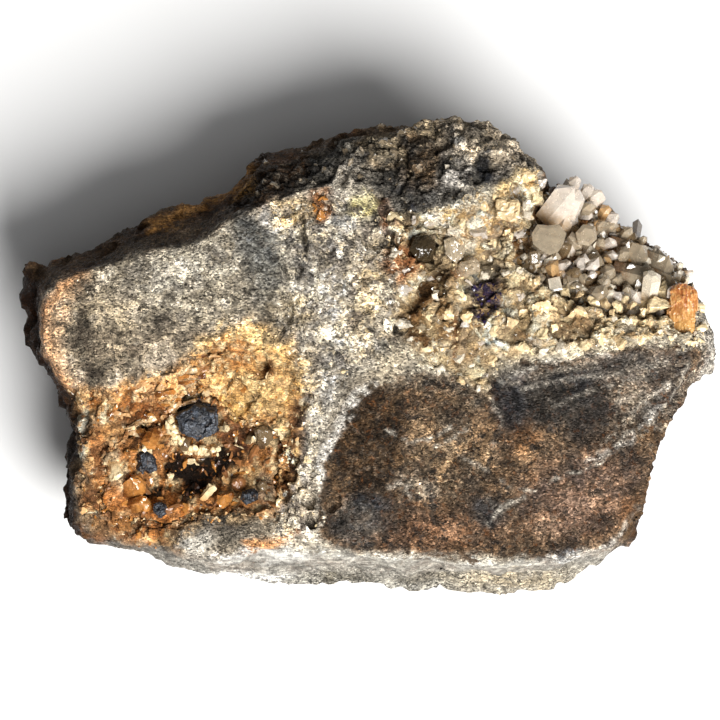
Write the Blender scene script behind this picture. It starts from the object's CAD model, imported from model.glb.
"""Looks of the topaz-in-greisen specimen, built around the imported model.

Places on the rock are given in the frame of its broad face, in millimetres: x along the face, y up
the face, w straight out of it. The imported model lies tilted, so TO_WORLD brings them into the row
frame. Colours are given as they are displayed, 0 to 255.
"""
import math
import random

import bmesh
import bpy
import numpy as np
from mathutils import Euler, Matrix, Vector, noise
from mathutils.bvhtree import BVHTree


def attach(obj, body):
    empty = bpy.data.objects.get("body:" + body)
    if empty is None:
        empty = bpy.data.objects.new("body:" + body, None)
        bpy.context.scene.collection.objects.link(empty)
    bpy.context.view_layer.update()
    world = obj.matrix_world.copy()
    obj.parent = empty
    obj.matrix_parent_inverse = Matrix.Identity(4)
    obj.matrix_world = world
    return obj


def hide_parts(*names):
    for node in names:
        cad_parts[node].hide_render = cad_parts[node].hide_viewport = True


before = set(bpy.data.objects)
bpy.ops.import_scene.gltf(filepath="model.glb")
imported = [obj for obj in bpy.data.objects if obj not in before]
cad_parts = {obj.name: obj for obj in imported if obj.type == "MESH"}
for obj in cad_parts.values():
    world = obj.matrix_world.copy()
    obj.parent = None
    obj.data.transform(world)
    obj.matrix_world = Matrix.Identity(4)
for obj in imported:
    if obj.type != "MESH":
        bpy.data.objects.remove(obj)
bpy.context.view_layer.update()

# ---- where the face's frame lies in the row frame ------------------------------------------------
MM = 0.001
FACE_TILT = math.radians(10)
FACE_ORIGIN = Vector((0.4863, 0.7765, 26.5898)) * MM
TO_WORLD = Matrix.Translation(FACE_ORIGIN) @ Matrix.Rotation(FACE_TILT, 4, "X") @ Matrix.Scale(MM, 4)
TO_FACE = TO_WORLD.inverted()

# ---- mesh fineness, millimetres ------------------------------------------------------------------
FACE_EDGE = 0.6
FLANK_EDGE = 1.5
BASE_EDGE = 4.0
MOST_PASSES = 6         # how often edges are halved at most

# ---- the two hollows (x, y) ----------------------------------------------------------------------
VUG_OUTLINE = [
    (35.5, 32), (34, 26.5), (30, 22.5), (29, 18.5), (33.5, 16), (38.5, 12), (47, 9), (55, 7.5),
    (60.5, 8.5), (64, 12), (64.5, 17), (60, 20.5), (54.5, 23.6), (50.8, 26.4), (47.6, 30.2),
    (43.5, 32.8), (39, 34.4),
]
VUG_CRUST = 4.2
POCKET_OUTLINE = [
    (-39.5, -12.5), (-37.5, -8.8), (-32.5, -7.6), (-28.8, -10.2), (-26.5, -14), (-21.5, -14.2),
    (-17.8, -16), (-17.2, -20.5), (-19.4, -25), (-18, -29.6), (-22.5, -31.6), (-26, -30),
    (-30.5, -32.2), (-35.5, -31.2), (-40.5, -33.4), (-45, -31.6), (-50.5, -32.6), (-53, -28.5),
    (-51, -24.5), (-52.8, -20.5), (-48.5, -18), (-45.5, -14.8), (-42, -16.6),
]
POCKET_CRUST = 2.6


def rgb(red, green, blue):
    """A display colour of 0 to 255 as the linear values that shaders take."""
    def linear(value):
        value /= 255
        return value / 12.92 if value <= 0.04045 else ((value + 0.055) / 1.055) ** 2.4
    return linear(red), linear(green), linear(blue)


# ---- display colours with a name -----------------------------------------------------------------
GREISEN = (172, 162, 144)
DARK_GREISEN = (112, 107, 98)
BLUE_BLACK = (34, 38, 46)
SOOT = (30, 26, 23)
CREAM = (250, 238, 208)
PALE_CREAM = (255, 248, 228)
RUST = (128, 78, 42)
BROWN = (98, 78, 58)
CHARCOAL = (76, 74, 71)
DARK_BROWN = (60, 42, 27)
LEDGE_GREY = (172, 168, 158)
CHALK = (255, 252, 245)
FLUORITE = (44, 34, 62)
WHITE = (240, 236, 226)

# ---- painting by hand: where each colour lies on the face ----------------------------------------
RUST_ZONE = [
    (-61, -7), (-52, -7.5), (-44, -4.5), (-34, 0), (-26, 3), (-18, 1), (-12.5, -8), (-13.5, -17),
    (-15.5, -27), (-19, -33), (-33, -33), (-38, -40), (-50, -38), (-58, -33), (-59, -20),
]
KNOB = [
    (-27, 29), (-12, 34), (-4, 35), (6, 29.5), (13, 27), (18, 29.5), (28, 34), (36, 39), (30, 50),
    (5, 52), (-28, 46),
]
VEIN = [
    (6, 28.5), (15, 27), (22, 30), (29, 34), (36, 37), (37, 28), (32, 22), (30, 17), (38, 12.5),
    (50, 9), (62, 10), (67, 5), (55, 2.8), (34, 0), (26, -2), (24, -8), (17, -5), (10, 0), (5, 8),
    (8, 15), (4, 22),
]
BROWN_FACE = [
    (4, -4.5), (12, -3.5), (18, -4.5), (24, -8), (26.3, -4.6), (35, -1.2), (47, 0.6), (60, 1.6),
    (70, 1.6), (67, -6), (62, -14), (57.5, -25), (56.5, -33), (50, -39), (40, -41), (22, -40.5),
    (0, -39), (-9, -37.5), (-10, -30), (-9, -20), (-5, -12),
]
CENTRE = [
    (-22, 30), (-8, 33), (6, 28), (7, 14), (6, 2), (-4, -4), (-9, -12), (-11, -24), (-10, -36),
    (-18, -37), (-17, -22), (-14, -8), (-18, 6), (-15, 18),
]
LEDGE = [
    (-33, -42), (-25, -40.4), (-19, -38.8), (-7, -38.8), (6, -40.4), (22, -41.2), (40, -41.8),
    (49, -39), (54, -33), (60, -36), (50, -52), (-30, -52),
]
SLAB = [
    (-65, 10), (-54, 17), (-42, 21), (-30, 25), (-22, 30), (-15, 26), (-18, 6), (-15, -4), (-30, -4),
    (-58, -9),
]
BRIGHT = [(-34, 3), (-24, 6), (-15, 4), (-13, -5), (-17, -14), (-27, -13), (-34, -7)]
# each patch: colour, strength, softness in millimetres, then its shape, which is an outline,
# or points and a width, or a centre, (half width, half height) and a turn in degrees
FACE_PAINT = {
    "slab_left_beige": ((188, 170, 142), 0.7, 6, (-52, 8), (8, 8), 0),
    "slab_lower": ((168, 150, 126), 0.7, 6,
                   [(-64, 3), (-50, 4), (-36, 6), (-20, 8), (-14, 0), (-30, -5), (-56, -9)]),
    "slab_rim": ((224, 184, 144), 0.9, 4,
                 [(-57, 16), (-62, 11), (-63.3, 3), (-62, -3), (-59, -8.5)], 4.5),
    "slab_rim_orange": ((206, 144, 90), 0.75, 2.5,
                        [(-56, 17.4), (-64, 11), (-65.2, 4), (-64, -1), (-61, -7)], 1.6),
    "slab_dark_band": ((76, 68, 60), 0.85, 3.5, (-56.6, 6), (1.8, 9.5), 4),
    "slab_dark_spot": ((66, 58, 50), 0.8, 2.5, (-54.5, -3.4), (3, 2.4), 20),
    "slab_dark_spot_mid": ((110, 100, 88), 0.7, 3, (-40, 7), (4, 2.6), 30),
    "slab_top_dark": ((96, 82, 66), 0.75, 2.5, [(-59, 16.6), (-47, 20), (-36, 22.5), (-27, 28)], 2.4),
    "blue_patch": ((78, 81, 82), 0.9, 4, (-21.6, 23), (5.0, 7.4), 12),
    "slab_pale_top": ((222, 214, 198), 0.6, 5, (-38, 16.4), (12, 4), 16),
    "blue_patch_low": ((118, 117, 112), 0.8, 4, (-20.4, 14), (3, 5), 10),
    "centre": ((248, 242, 228), 0.9, 5, CENTRE),
    "centre_cream": ((206, 186, 148), 0.75, 4, (-15, 8.4), (5, 3), -20),
    "centre_cream_low": ((196, 172, 132), 0.7, 4, (-13, -4), (4, 6), 0),
    "centre_cream_right": ((234, 212, 172), 0.75, 8, (2, 12), (6, 13), 0),
    "centre_tan": ((190, 158, 118), 0.6, 5, (-14, 29), (6, 3), 10),
    "centre_grey": ((132, 123, 111), 0.75, 5, (-8, 21), (7, 5), 30),
    "centre_grey_low": ((244, 228, 202), 0.8, 4, (-13, -28), (3.4, 9), 0),
    "rust_zone": ((226, 180, 128), 0.92, 3.5, RUST_ZONE),
    "rust_streaks": ((232, 178, 120), 0.85, 2.5, [(-60, -9), (-52, -9), (-44, -8), (-36, -5)], 4.5),
    "rust_brown": ((150, 98, 56), 0.75, 3, (-42, -12), (7, 3), 10),
    "rust_left": ((158, 136, 108), 0.85, 3, [(-58, -14), (-58, -24), (-54, -35)], 4),
    "rust_low": ((236, 178, 112), 0.85, 3, (-45.5, -34.6), (5.5, 4.5), -20),
    "rust_grey": ((150, 136, 116), 0.75, 4,
                  [(-37, -31), (-26, -30.5), (-18, -31), (-18, -38), (-26, -42), (-36, -41)]),
    "foot_grey": ((112, 105, 94), 0.9, 4, (-30, -34.8), (8.6, 3.6), 4),
    "foot_grey_left": ((124, 112, 96), 0.7, 4, (-37, -37), (4.4, 3.6), 0),
    "foot_white": ((206, 200, 188), 0.75, 3, (-34.4, -38), (3.6, 2.8), 0),
    "foot_orange": ((220, 152, 90), 0.75, 2, [(-24, -38), (-19, -37), (-14, -35.4)], 2.2),
    "rust_grey_dark": ((82, 74, 66), 0.8, 2, (-28.6, -33.4), (4.2, 1.8), 15),
    "bright_orange": ((255, 208, 138), 0.92, 3, BRIGHT),
    "orange_plates": ((222, 160, 96), 0.8, 2, (-28, 0), (5, 4), 20),
    "orange_low": ((244, 196, 120), 0.85, 2, (-27.5, -11), (3.2, 3.4), 40),
    "orange_dark": (RUST, 0.85, 1.5, (-20.4, -2.6), (1.6, 3.4), 0),
    "orange_grey": ((110, 100, 86), 0.7, 2, (-17.6, 3.6), (2.4, 2), 0),
    "knob": (DARK_GREISEN, 0.94, 3, KNOB),
    "knob_top": ((240, 220, 190), 0.92, 4, (22, 43.6), (13, 5.6), -16),
    "knob_beige": ((176, 154, 124), 0.9, 2, (2.2, 42.2), (5, 4.6), 0),
    "knob_tan": ((184, 142, 98), 0.9, 2, (11, 45.4), (3.4, 2.6), 0),
    "knob_grey_white": ((176, 174, 168), 0.85, 3, (-5.4, 38.6), (3.6, 3.8), 0),
    "knob_black": ((48, 48, 50), 0.85, 3, (-13.4, 39), (3.8, 3), 0),
    "knob_dark_mid": ((84, 82, 80), 0.7, 3, (9, 33), (6, 5), 0),
    "knob_brown_left": ((108, 80, 54), 0.85, 3, (-21.4, 32.6), (5.6, 3.2), 20),
    "knob_left": ((72, 69, 64), 0.85, 4, (-18, 40), (10, 4.5), 22),
    "knob_pale_left": ((190, 180, 164), 0.8, 3, (-4, 38), (4.4, 3.8), 0),
    "knob_brown": ((140, 112, 80), 0.7, 3, (12, 38), (6, 4), 30),
    "quartz_left": ((176, 160, 132), 0.85, 1.5, (2.9, 42.5), (3.6, 3.8), 0),
    "quartz_top": ((196, 178, 146), 0.85, 1.5, (11.4, 45.6), (3.2, 2.2), 0),
    "knob_pale_right": ((206, 198, 186), 0.85, 2, (16.8, 36.8), (3.4, 4.8), -10),
    "blue_black_right": (BLUE_BLACK, 0.95, 1.2, (22.6, 38), (2.0, 3.2), 10),
    "blue_black_vein": (BLUE_BLACK, 0.9, 1.2, (8.4, 28), (2.6, 3), 0),
    "white_spot_high": (WHITE, 0.85, 1.0, (17.4, 43.6), (1.2, 1.1), 0),
    "vein": (CREAM, 0.94, 4, VEIN),
    "vein_pale": (PALE_CREAM, 0.85, 2, [(14, 25.5), (21, 28), (28, 31.5), (34, 35.5)], 5),
    "vein_white": ((242, 234, 214), 0.85, 2.5, (26, 24.6), (5, 3), 15),
    "vein_white_mid": ((236, 226, 204), 0.8, 2.5, (17, 22.4), (5, 2.4), 10),
    "vein_white_low": ((246, 232, 200), 0.85, 2.5, [(34, 5), (48, 5.4), (62, 6.6)], 3.4),
    "vein_gold": ((216, 186, 128), 0.7, 2, [(27, 33), (33, 36)], 3.6),
    "vein_rusty": ((186, 136, 96), 0.75, 2.5, (7, 18), (3.2, 6), 12),
    "vein_ochre": ((158, 126, 84), 0.88, 3, (12.5, 7), (6, 6.4), 0),
    "vein_orange": ((214, 150, 104), 0.8, 2.5, (6.6, 18.4), (3.4, 4.4), 20),
    "black_spot": ((44, 42, 40), 0.9, 1, (6, 5.2), (0.9, 1.2), 0),
    "green_grey_spot": ((96, 92, 78), 0.8, 1.5, (3.8, 1.8), (2.2, 1.0), 15),
    "brown_in_cream": ((104, 90, 66), 0.8, 2, (-17.4, 6.2), (2.8, 1.8), -30),
    "vein_ochre_low": ((246, 232, 204), 0.85, 3, (18, -1), (5, 4.5), 0),
    "vein_grey": ((88, 82, 74), 0.85, 3, (25, 15), (4.4, 4.5), -20),
    "vein_grey_low": ((186, 170, 144), 0.7, 3.5, (32, 5.4), (5, 3.4), -25),
    "vein_grey_right": ((196, 176, 148), 0.7, 3, (44, 6), (5, 2), 0),
    "fluorite": (FLUORITE, 0.95, 1.6, (23.8, 10.8), (3.0, 4.4), -15),
    "fluorite_low": (FLUORITE, 0.85, 1.2, (21.2, 8), (1.6, 1.6), 0),
    "knob_orange": ((168, 110, 60), 0.9, 1.6, (-9.2, 30), (2.4, 3.4), 0),
    "knob_cream": ((236, 208, 160), 0.85, 2, (-15.4, 28.6), (4.2, 2.8), 10),
    "lichen": ((222, 208, 132), 0.75, 2.5, (-0.8, 29.2), (3, 2.4), 30),
    "black_hole": ((24, 20, 17), 0.95, 1, (2.0, 26.4), (1.2, 2.0), 20),
    "orange_gap": ((190, 118, 58), 0.85, 1.2, (4.4, 26.8), (1.2, 2.4), 0),
    "brown_face": (BROWN, 0.97, 1.6, BROWN_FACE),
    "brown_left": ((50, 38, 26), 0.9, 6, (0, -18), (8, 13), -10),
    "brown_pale": ((136, 114, 88), 0.7, 7, (15, -20), (7, 9), 0),
    "brown_rusty_mid": ((122, 86, 54), 0.6, 4, (30, -14), (4, 6), 20),
    "brown_red": ((132, 106, 88), 0.8, 8, (43, -28), (12, 8), 15),
    "brown_red_left": ((112, 82, 62), 0.7, 7, (12, -35), (13, 4), 0),
    "brown_right": ((92, 82, 72), 0.8, 5, (59, -7), (6, 7), -35),
    "brown_grey_right": ((96, 86, 76), 0.6, 5, (50, -8), (5, 6), -35),
    "charcoal_band": ((52, 51, 49), 0.92, 5, (36.5, -8.5), (10, 5.2), 18),
    "charcoal_mid": ((48, 48, 50), 0.95, 3, (28.5, -8.5), (3.4, 6), -10),
    "charcoal_top": ((80, 77, 73), 0.85, 3, (50, -2.4), (12, 2.4), 8),
    "charcoal_right": ((60, 57, 54), 0.65, 6, (43.5, -13), (6, 5), 30),
    "charcoal_spot": ((70, 71, 72), 0.8, 2, (0, -29.4), (3.8, 1.6), 0),
    "charcoal_left": ((76, 73, 69), 0.85, 3, (-1.5, -33.6), (6, 4), 0),
    "charcoal_low": (CHARCOAL, 0.8, 2.5, (23.5, -31.4), (3.0, 3.4), 0),
    "grey_mid": ((132, 122, 108), 0.7, 3, (10, -26.4), (4, 2.6), -20),
    "brown_top_rim": ((116, 106, 92), 0.7, 3, [(6, -6), (14, -5), (22, -9)], 3),
    "ledge": (LEDGE_GREY, 0.95, 1.6, LEDGE),
    "ledge_chalk": (CHALK, 0.97, 2.5, (-23, -42.8), (11, 3.6), 8),
    "ledge_streak": ((214, 210, 200), 0.8, 1.5, [(-10, -40), (6, -41.4), (22, -42.2), (40, -42.6)], 1.4),
    "ledge_dark": ((104, 98, 84), 0.95, 2, (-5, -44.4), (7.5, 1.9), 0),
    "ledge_dark_mid": ((118, 111, 97), 0.95, 2, (12, -44.6), (6.5, 1.9), 0),
    "ledge_ochre": ((182, 164, 132), 0.75, 3, (30, -45.6), (12, 2.5), 4),
    "upper_band": ((74, 55, 38), 0.95, 1.4,
                   [(-70, 10), (-66.5, 12), (-61.2, 15.8), (-54, 17.8), (-47.6, 20.2), (-42, 21.4),
                    (-36.4, 22.2), (-31.6, 24.2), (-29.2, 26.2), (-26.8, 28), (-23.6, 29.8), (-18, 32.4),
                    (-12, 35.4), (-12, 50), (-70, 40)]),
    "upper_band_grey": ((100, 84, 64), 0.8, 1.6, [(-50, 20.6), (-40, 23.4), (-32, 26)], 1.6),
    "upper_band_ochre": ((186, 142, 86), 0.85, 1.4,
                         [(-47, 25.4), (-39.6, 26.6), (-33.2, 28.4), (-26.8, 32), (-23.6, 35)], 1.6),
    "ledge_rim_right": ((214, 209, 199), 0.85, 1.2,
                        [(34, -41.6), (46, -39.6), (52, -35.8), (55.4, -31)], 1.8),
    "right_end": ((188, 180, 168), 0.85, 3, [(66.5, 11), (69, 5), (70, 0), (68, -5)], 4),
}
# cracks that are both painted and cut
CENTRE_CRACK = [(-13.2, 28), (-12.8, 23.5), (-12.4, 21), (-14, 15)]
VEIN_CRACK = [(18.4, 8), (17.8, 4), (17.2, -1)]
SIDE_FRACTURE = [(51, -14), (55, -9), (60, -5.4)]
SHORT_FRACTURE = [(14, -18), (17.5, -15.4), (20, -14.6)]
LOW_FRACTURE = [(4, -26.6), (6.5, -25.4), (8, -27.6)]
# thin lines, which stay sharp
FACE_STROKES = {
    "fracture_long": ((186, 178, 164), 0.7, 0.9,
                      [(36, -25.4), (42, -23), (46.5, -21.4), (51.5, -16), (57.5, -12), (61, -7),
                       (64.5, -1)], 0.5),
    "fracture_side": ((176, 168, 154), 0.6, 1.0, SIDE_FRACTURE, 0.7),
    "fracture_branch": ((170, 160, 146), 0.6, 0.8, [(44, -22), (47, -17.6), (49, -16)], 0.4),
    "fracture_left": ((176, 168, 154), 0.6, 0.8, [(18, -20), (24, -23), (28, -26), (33, -27)], 0.5),
    "fracture_arc": ((186, 178, 164), 0.65, 0.8, [(4, -15), (8, -17.4), (12, -17), (16, -14)], 0.6),
    "streak_high": ((160, 152, 140), 0.6, 1.0, [(30, -7.4), (40, -4.6), (50, -3.4), (60, -1.4)], 0.7),
    "streak_mid": ((150, 142, 130), 0.55, 1.0, [(36, -10), (46, -6.4), (56, -4.4)], 0.6),
    "streak_right": ((160, 150, 138), 0.6, 1.0, [(50, -9.6), (58, -6.4), (64, -3)], 0.6),
    "fracture_short": ((176, 168, 154), 0.65, 1.0, SHORT_FRACTURE, 0.8),
    "fracture_low": ((174, 164, 150), 0.6, 1.0, LOW_FRACTURE, 0.9),
    "fracture_upper": ((150, 140, 126), 0.6, 1.6, [(28, -6.4), (37, -3.4), (46, -1.6)], 0.8),
    "face_rim": ((208, 202, 192), 0.85, 1.4,
                 [(-10, -24), (-9.4, -21), (-7.4, -17), (-5, -12.6), (-2.6, -8.4), (0.4, -6)], 2.0),
    "vein_streak": ((150, 92, 50), 0.7, 0.8, VEIN_CRACK, 0.9),
    "vein_brown": ((96, 64, 34), 0.85, 1.4, [(14.6, 17), (11, 11), (7.5, 7), (11, 2)], 2.2),
    "rusty_gap": ((84, 50, 28), 0.85, 1.5, [(2.6, 31), (4.4, 27), (3.4, 23)], 2),
    "crack_centre": (SOOT, 0.85, 0.8, CENTRE_CRACK, 0.8),
    "plate_gap_low": ((120, 70, 34), 0.8, 0.8, [(-33, -2.6), (-28, -1.4), (-24, -2.4)], 0.7),
    "plate_gap": ((132, 78, 38), 0.8, 0.8, [(-33.4, -0.6), (-28, 0.8), (-23.4, 0)], 0.6),
    "plate_gap_high": ((120, 70, 34), 0.8, 0.8, [(-33, 1.6), (-28, 3.0), (-23, 2.2)], 0.6),
    "plate_edge_low": ((240, 214, 172), 0.7, 0.8, [(-33, -1.7), (-28, -0.4), (-24, -1.2)], 0.6),
    "plate_edge": ((240, 214, 172), 0.7, 0.8, [(-33.4, 0.5), (-28, 1.9), (-23.4, 1.1)], 0.6),
    "fracture_white": ((206, 200, 190), 0.6, 1.4, [(44, -21), (52, -17.6), (58, -10)], 0.7),
    "fracture_cross": ((170, 160, 146), 0.55, 1.2, [(24.4, -9), (27.5, -13), (25, -18)], 0.6),
    "fracture_foot": ((186, 178, 164), 0.6, 1.2, [(24, -34), (27.5, -30.4), (31, -28.6)], 0.8),
    "ridge_top_left": ((196, 190, 178), 0.6, 1.2, [(26.4, -5), (36, -1.8), (48, 0)], 1.0),
}
# what lies between those colours in small patches
FACE_FLECKS = {
    "slab": ((134, 124, 108), 0.75, 4, SLAB),
    "centre": ((222, 212, 194), 0.7, 4, CENTRE),
    "rust_zone": ((236, 204, 158), 0.7, 4, RUST_ZONE),
    "rust_left": ((150, 104, 64), 0.6, 4, [(-60, -9), (-44, -12), (-46, -34), (-58, -34)]),
    "orange": ((255, 222, 164), 0.8, 3, BRIGHT),
    "knob": ((116, 110, 100), 0.6, 4, KNOB),
    "vein": ((222, 198, 158), 0.75, 3, VEIN),
    "vein_top": ((232, 200, 146), 0.8, 2, [(18, 26.5), (26, 30), (34, 35)], 6),
    "brown_face": ((72, 62, 52), 0.75, 4, BROWN_FACE),
    "brown_right": ((138, 127, 112), 0.7, 6, (56, -8), (9, 10), -30),
    "ledge": ((140, 134, 122), 0.6, 3, LEDGE),
    "ledge_left": ((252, 249, 243), 0.9, 3, (-22, -43), (10, 3.4), 8),
}
# patches of FACE_PAINT that are solid, with nothing paler in between
SOLID_PATCHES = {name: patch for name, patch in FACE_PAINT.items()
                 if name.startswith(("charcoal", "ledge_dark", "ledge_rim", "blue_"))}
FLANK_PAINT = {
    "ochre_layer": ((170, 124, 70), 0.8, 2, [(-44, 26), (-36, 30), (-29, 33), (-24, 38)], 2.4),
    "dark_layer": ((40, 32, 25), 0.8, 2, [(-52, 19), (-40, 24.5), (-30, 29), (-22, 34)], 3),
    "left_flank": ((34, 17, 7), 0.9, 3,
                   [(-74, 20), (-66, 16), (-62, 0), (-59, -14), (-58, -36), (-72, -40), (-80, 0)]),
    "knob_back": ((170, 154, 130), 0.85, 4, (24, 46), (13, 6), -15),
    "knob_back_brown": ((120, 98, 72), 0.8, 4, (8, 48), (10, 3.4), 0),
    "right_end": ((206, 196, 180), 0.85, 3, [(69, 8), (70.5, 1), (69, -5)], 6),
    "right_end_high": ((196, 178, 150), 0.85, 2, [(66, 17), (68.4, 10)], 4),
}

# the colours of single crystals in each kind of ground: strength, then colours from dark to pale
CELL_COLOURS = {
    "vein": (0.75,
             [(170, 140, 104), (206, 172, 126), (216, 186, 138), (232, 210, 170), (240, 226, 198),
              (246, 242, 230)]),
    "centre": (0.8, [(130, 120, 108), (196, 184, 166), (222, 202, 168), (240, 234, 222)]),
    "rust": (0.75, [(148, 104, 68), (198, 143, 88), (228, 172, 111), (238, 204, 149), (246, 227, 188)]),
    "knob": (0.5, [(56, 56, 58), (96, 93, 87), (122, 116, 106), (184, 178, 168)]),
    "brown": (0.5, [(62, 52, 44), (98, 80, 62), (130, 108, 86)]),
}

# the slower drift of colour in each kind of ground: strength, then colours
DRIFT_COLOURS = {
    "brown": (0.6, [(50, 46, 42), (70, 58, 46), (94, 76, 58), (118, 92, 68), (138, 114, 90)]),
    "knob": (0.52, [(44, 46, 50), (92, 89, 82), (116, 108, 96), (172, 164, 150)]),
    "rust": (0.75, [(140, 98, 62), (198, 142, 86), (230, 185, 127), (238, 214, 173)]),
    "vein": (0.7, [(156, 130, 98), (206, 180, 140), (226, 206, 168), (240, 232, 214)]),
    "centre": (0.8, [(116, 106, 96), (190, 180, 162), (224, 206, 174), (236, 230, 218)]),
    "slab": (0.8, [(104, 96, 84), (162, 152, 134), (192, 178, 152), (206, 196, 178)]),
}

# ---- cracks and ridges of the face: points, half width, height (down where negative) -------------
FACE_RELIEF = {
    "plate_low": ([(-33, -2.0), (-28, -0.8), (-24, -1.6)], 0.9, 0.9),
    "plate_middle": ([(-33.4, 0.2), (-28, 1.5), (-23.4, 0.8)], 0.9, 0.9),
    "plate_high": ([(-33, 2.4), (-28, 3.8), (-23, 3.0)], 0.9, 0.8),
    "crack_upper": (CENTRE_CRACK, 0.9, -1.3),
    "crack_rusty_gap": ([(2.6, 31.5), (4.4, 27), (3.4, 22.6)], 1.4, -2.2),
    "crack_vein": ([(14.4, 17), (11, 12), (8.0, 8.6)], 1.3, -1.9),
    "crack_vein_low": (VEIN_CRACK, 0.7, -0.7),
    "crack_knob": ([(5, 31), (8, 36), (7, 41)], 0.9, -1.2),
    "crack_slab": ([(-17, 18), (-15, 8), (-18, 3)], 0.9, -0.9),
    "gap_fluorite": ([(22, 13), (24.6, 10), (23, 7.4)], 1.6, -1.4),
    "ridge_face_left": ([(-10, -24), (-7.4, -17), (-4, -11), (0.4, -6.4), (4, -4.4)], 1.3, 0.7),
    "ridge_face_top": ([(26.4, -5), (36, -1.6), (48, 0.4), (62, 1.4)], 1.6, 0.6),
    "fracture_long": ([(36, -25.4), (46.5, -21.4), (51.5, -16), (57.5, -12), (61, -7), (64.5, -1)],
                      0.8, 0.35),
    "fracture_side": (SIDE_FRACTURE, 0.9, 0.4),
    "fracture_short": (SHORT_FRACTURE, 0.8, 0.5),
    "fracture_low": (LOW_FRACTURE, 0.8, 0.5),
    "ridge_ledge": ([(-20, -40), (-4, -39.6), (14, -41), (36, -42), (50, -39)], 1.0, 0.5),
    "pit_a": ([(-13.2, -26.2), (-12.8, -27)], 1.0, -1.6),
    "pit_b": ([(-12, -29.4), (-11.6, -30.2)], 0.9, -1.5),
    "pit_c": ([(-12, -33), (-11.2, -34)], 1.2, -1.8),
    "pit_d": ([(-7, -30), (-7.2, -31.4)], 0.8, -1.2),
}


# ---- noise and outlines, for arrays of places ----------------------------------------------------
def fractal_noise(points, size, octaves=3, seed=0.0):
    """Signed fractal noise of every point, with lumps of about size millimetres."""
    shift = Vector((seed, seed * 1.7, -seed))
    return np.array([noise.fractal(Vector(p) / size + shift, 0.9, 2.1, octaves) for p in points.tolist()])


def cell_tops(points, size, seed, slope, step):
    """For every point the signed height of its cell's tilted top, a random shade, and 1 in the gaps."""
    half = Vector((0.5, 0.5, 0.5))
    shift = Vector((seed, -seed, seed * 0.6))
    for place in points.tolist():
        spot = Vector(place) / size + shift
        distances, centres = noise.voronoi(spot)
        centre = centres[0]
        tilt = noise.cell_vector(centre * 5.3) - half
        height = slope * tilt.dot(spot - centre) + step * (noise.cell(centre * 9.1) - 0.5)
        yield height, noise.cell(centre * 17.7), 1 - min(1, (distances[1] - distances[0]) / 0.22)


def facet_noise(points, size, seed=0.0):
    """Signed noise of tilted flat facets, like a broken surface."""
    return np.array([height for height, _, _ in cell_tops(points, size, seed, 1.6, 0.5)])


def crystal_cells(points, size, seed=0.0):
    """Height, shade and gap of every point in cells like intergrown crystals."""
    return np.array(list(cell_tops(points, size, seed, 1.5, 0.8))).T


def smooth_step(values, low, high):
    share = np.clip((values - low) / (high - low), 0, 1)
    return share * share * (3 - 2 * share)


def patchy(points, size, octaves, seed, low, high):
    """1 in patches of about size millimetres and 0 between them."""
    return smooth_step(fractal_noise(points, size, octaves, seed), low, high)


def distance_to_line(x, y, points):
    nearest = np.full(np.shape(x), 1e6)
    for (ax, ay), (bx, by) in zip(points, points[1:]):
        dx, dy = bx - ax, by - ay
        share = np.clip(((x - ax) * dx + (y - ay) * dy) / (dx * dx + dy * dy), 0, 1)
        nearest = np.minimum(nearest, np.hypot(x - ax - share * dx, y - ay - share * dy))
    return nearest


def inside(x, y, outline):
    """Whether the places, or the one place, lie in the outline."""
    x, y = np.asarray(x), np.asarray(y)
    result = np.zeros(x.shape, bool)
    for (ax, ay), (bx, by) in zip(outline, outline[1:] + outline[:1]):
        crosses = (ay > y) != (by > y)
        with np.errstate(divide="ignore", invalid="ignore"):
            at = ax + (y - ay) * (bx - ax) / (by - ay)
        result ^= crosses & (x < at)
    return result


def depth_in(x, y, outline):
    """Distance to the outline's edge, below 0 outside."""
    edge = distance_to_line(x, y, outline + outline[:1])
    return np.where(inside(x, y, outline), edge, -edge)


def patch_cover(x, y, softness, *shape):
    """How much a patch, shaped as in FACE_PAINT, covers each point, from 0 to 1."""
    if len(shape) == 3:
        (cx, cy), (half_x, half_y), turn = shape
        angle = math.radians(turn)
        u = (x - cx) * math.cos(angle) + (y - cy) * math.sin(angle)
        v = -(x - cx) * math.sin(angle) + (y - cy) * math.cos(angle)
        outside = (np.hypot(u / half_x, v / half_y) - 1) * min(half_x, half_y)
    elif len(shape) == 2:
        points, width = shape
        outside = distance_to_line(x, y, points) - width / 2
    else:
        outside = -depth_in(x, y, *shape)
    return 1 - smooth_step(outside, -softness / 2, softness / 2)


def blend(base, over, share):
    return np.asarray(base) * (1 - share) + np.asarray(over) * share


def vary(tint, values, colours, share):
    """Shifts the tints as the colours, spread evenly over values from 0 to 1, differ from their middle."""
    colours = [rgb(*colour) for colour in colours]
    stops = np.linspace(0, 1, len(colours))
    spread = np.column_stack([np.interp(values, stops, channel) for channel in zip(*colours)])
    return tint * (1 + share[:, None] * (spread / np.mean(colours, axis=0) - 1))


def paint(tint, x, y, patches, where=1.0):
    """Lays each patch's colour over the tints in its place."""
    for colour, strength, softness, *shape in patches.values():
        cover = (patch_cover(x, y, softness, *shape) * strength * where)[:, None]
        tint[:] = blend(tint, rgb(*colour), cover)


# ---- meshes --------------------------------------------------------------------------------------
def face_mesh(node):
    """The node's mesh in the face's frame, with its corners joined."""
    mesh = bmesh.new()
    mesh.from_mesh(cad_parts[node].data)
    mesh.transform(TO_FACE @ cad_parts[node].matrix_world)
    bmesh.ops.remove_doubles(mesh, verts=mesh.verts[:], dist=0.002)
    bmesh.ops.dissolve_degenerate(mesh, edges=mesh.edges[:], dist=0.001)
    bmesh.ops.triangulate(mesh, faces=mesh.faces[:])
    return mesh


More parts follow.
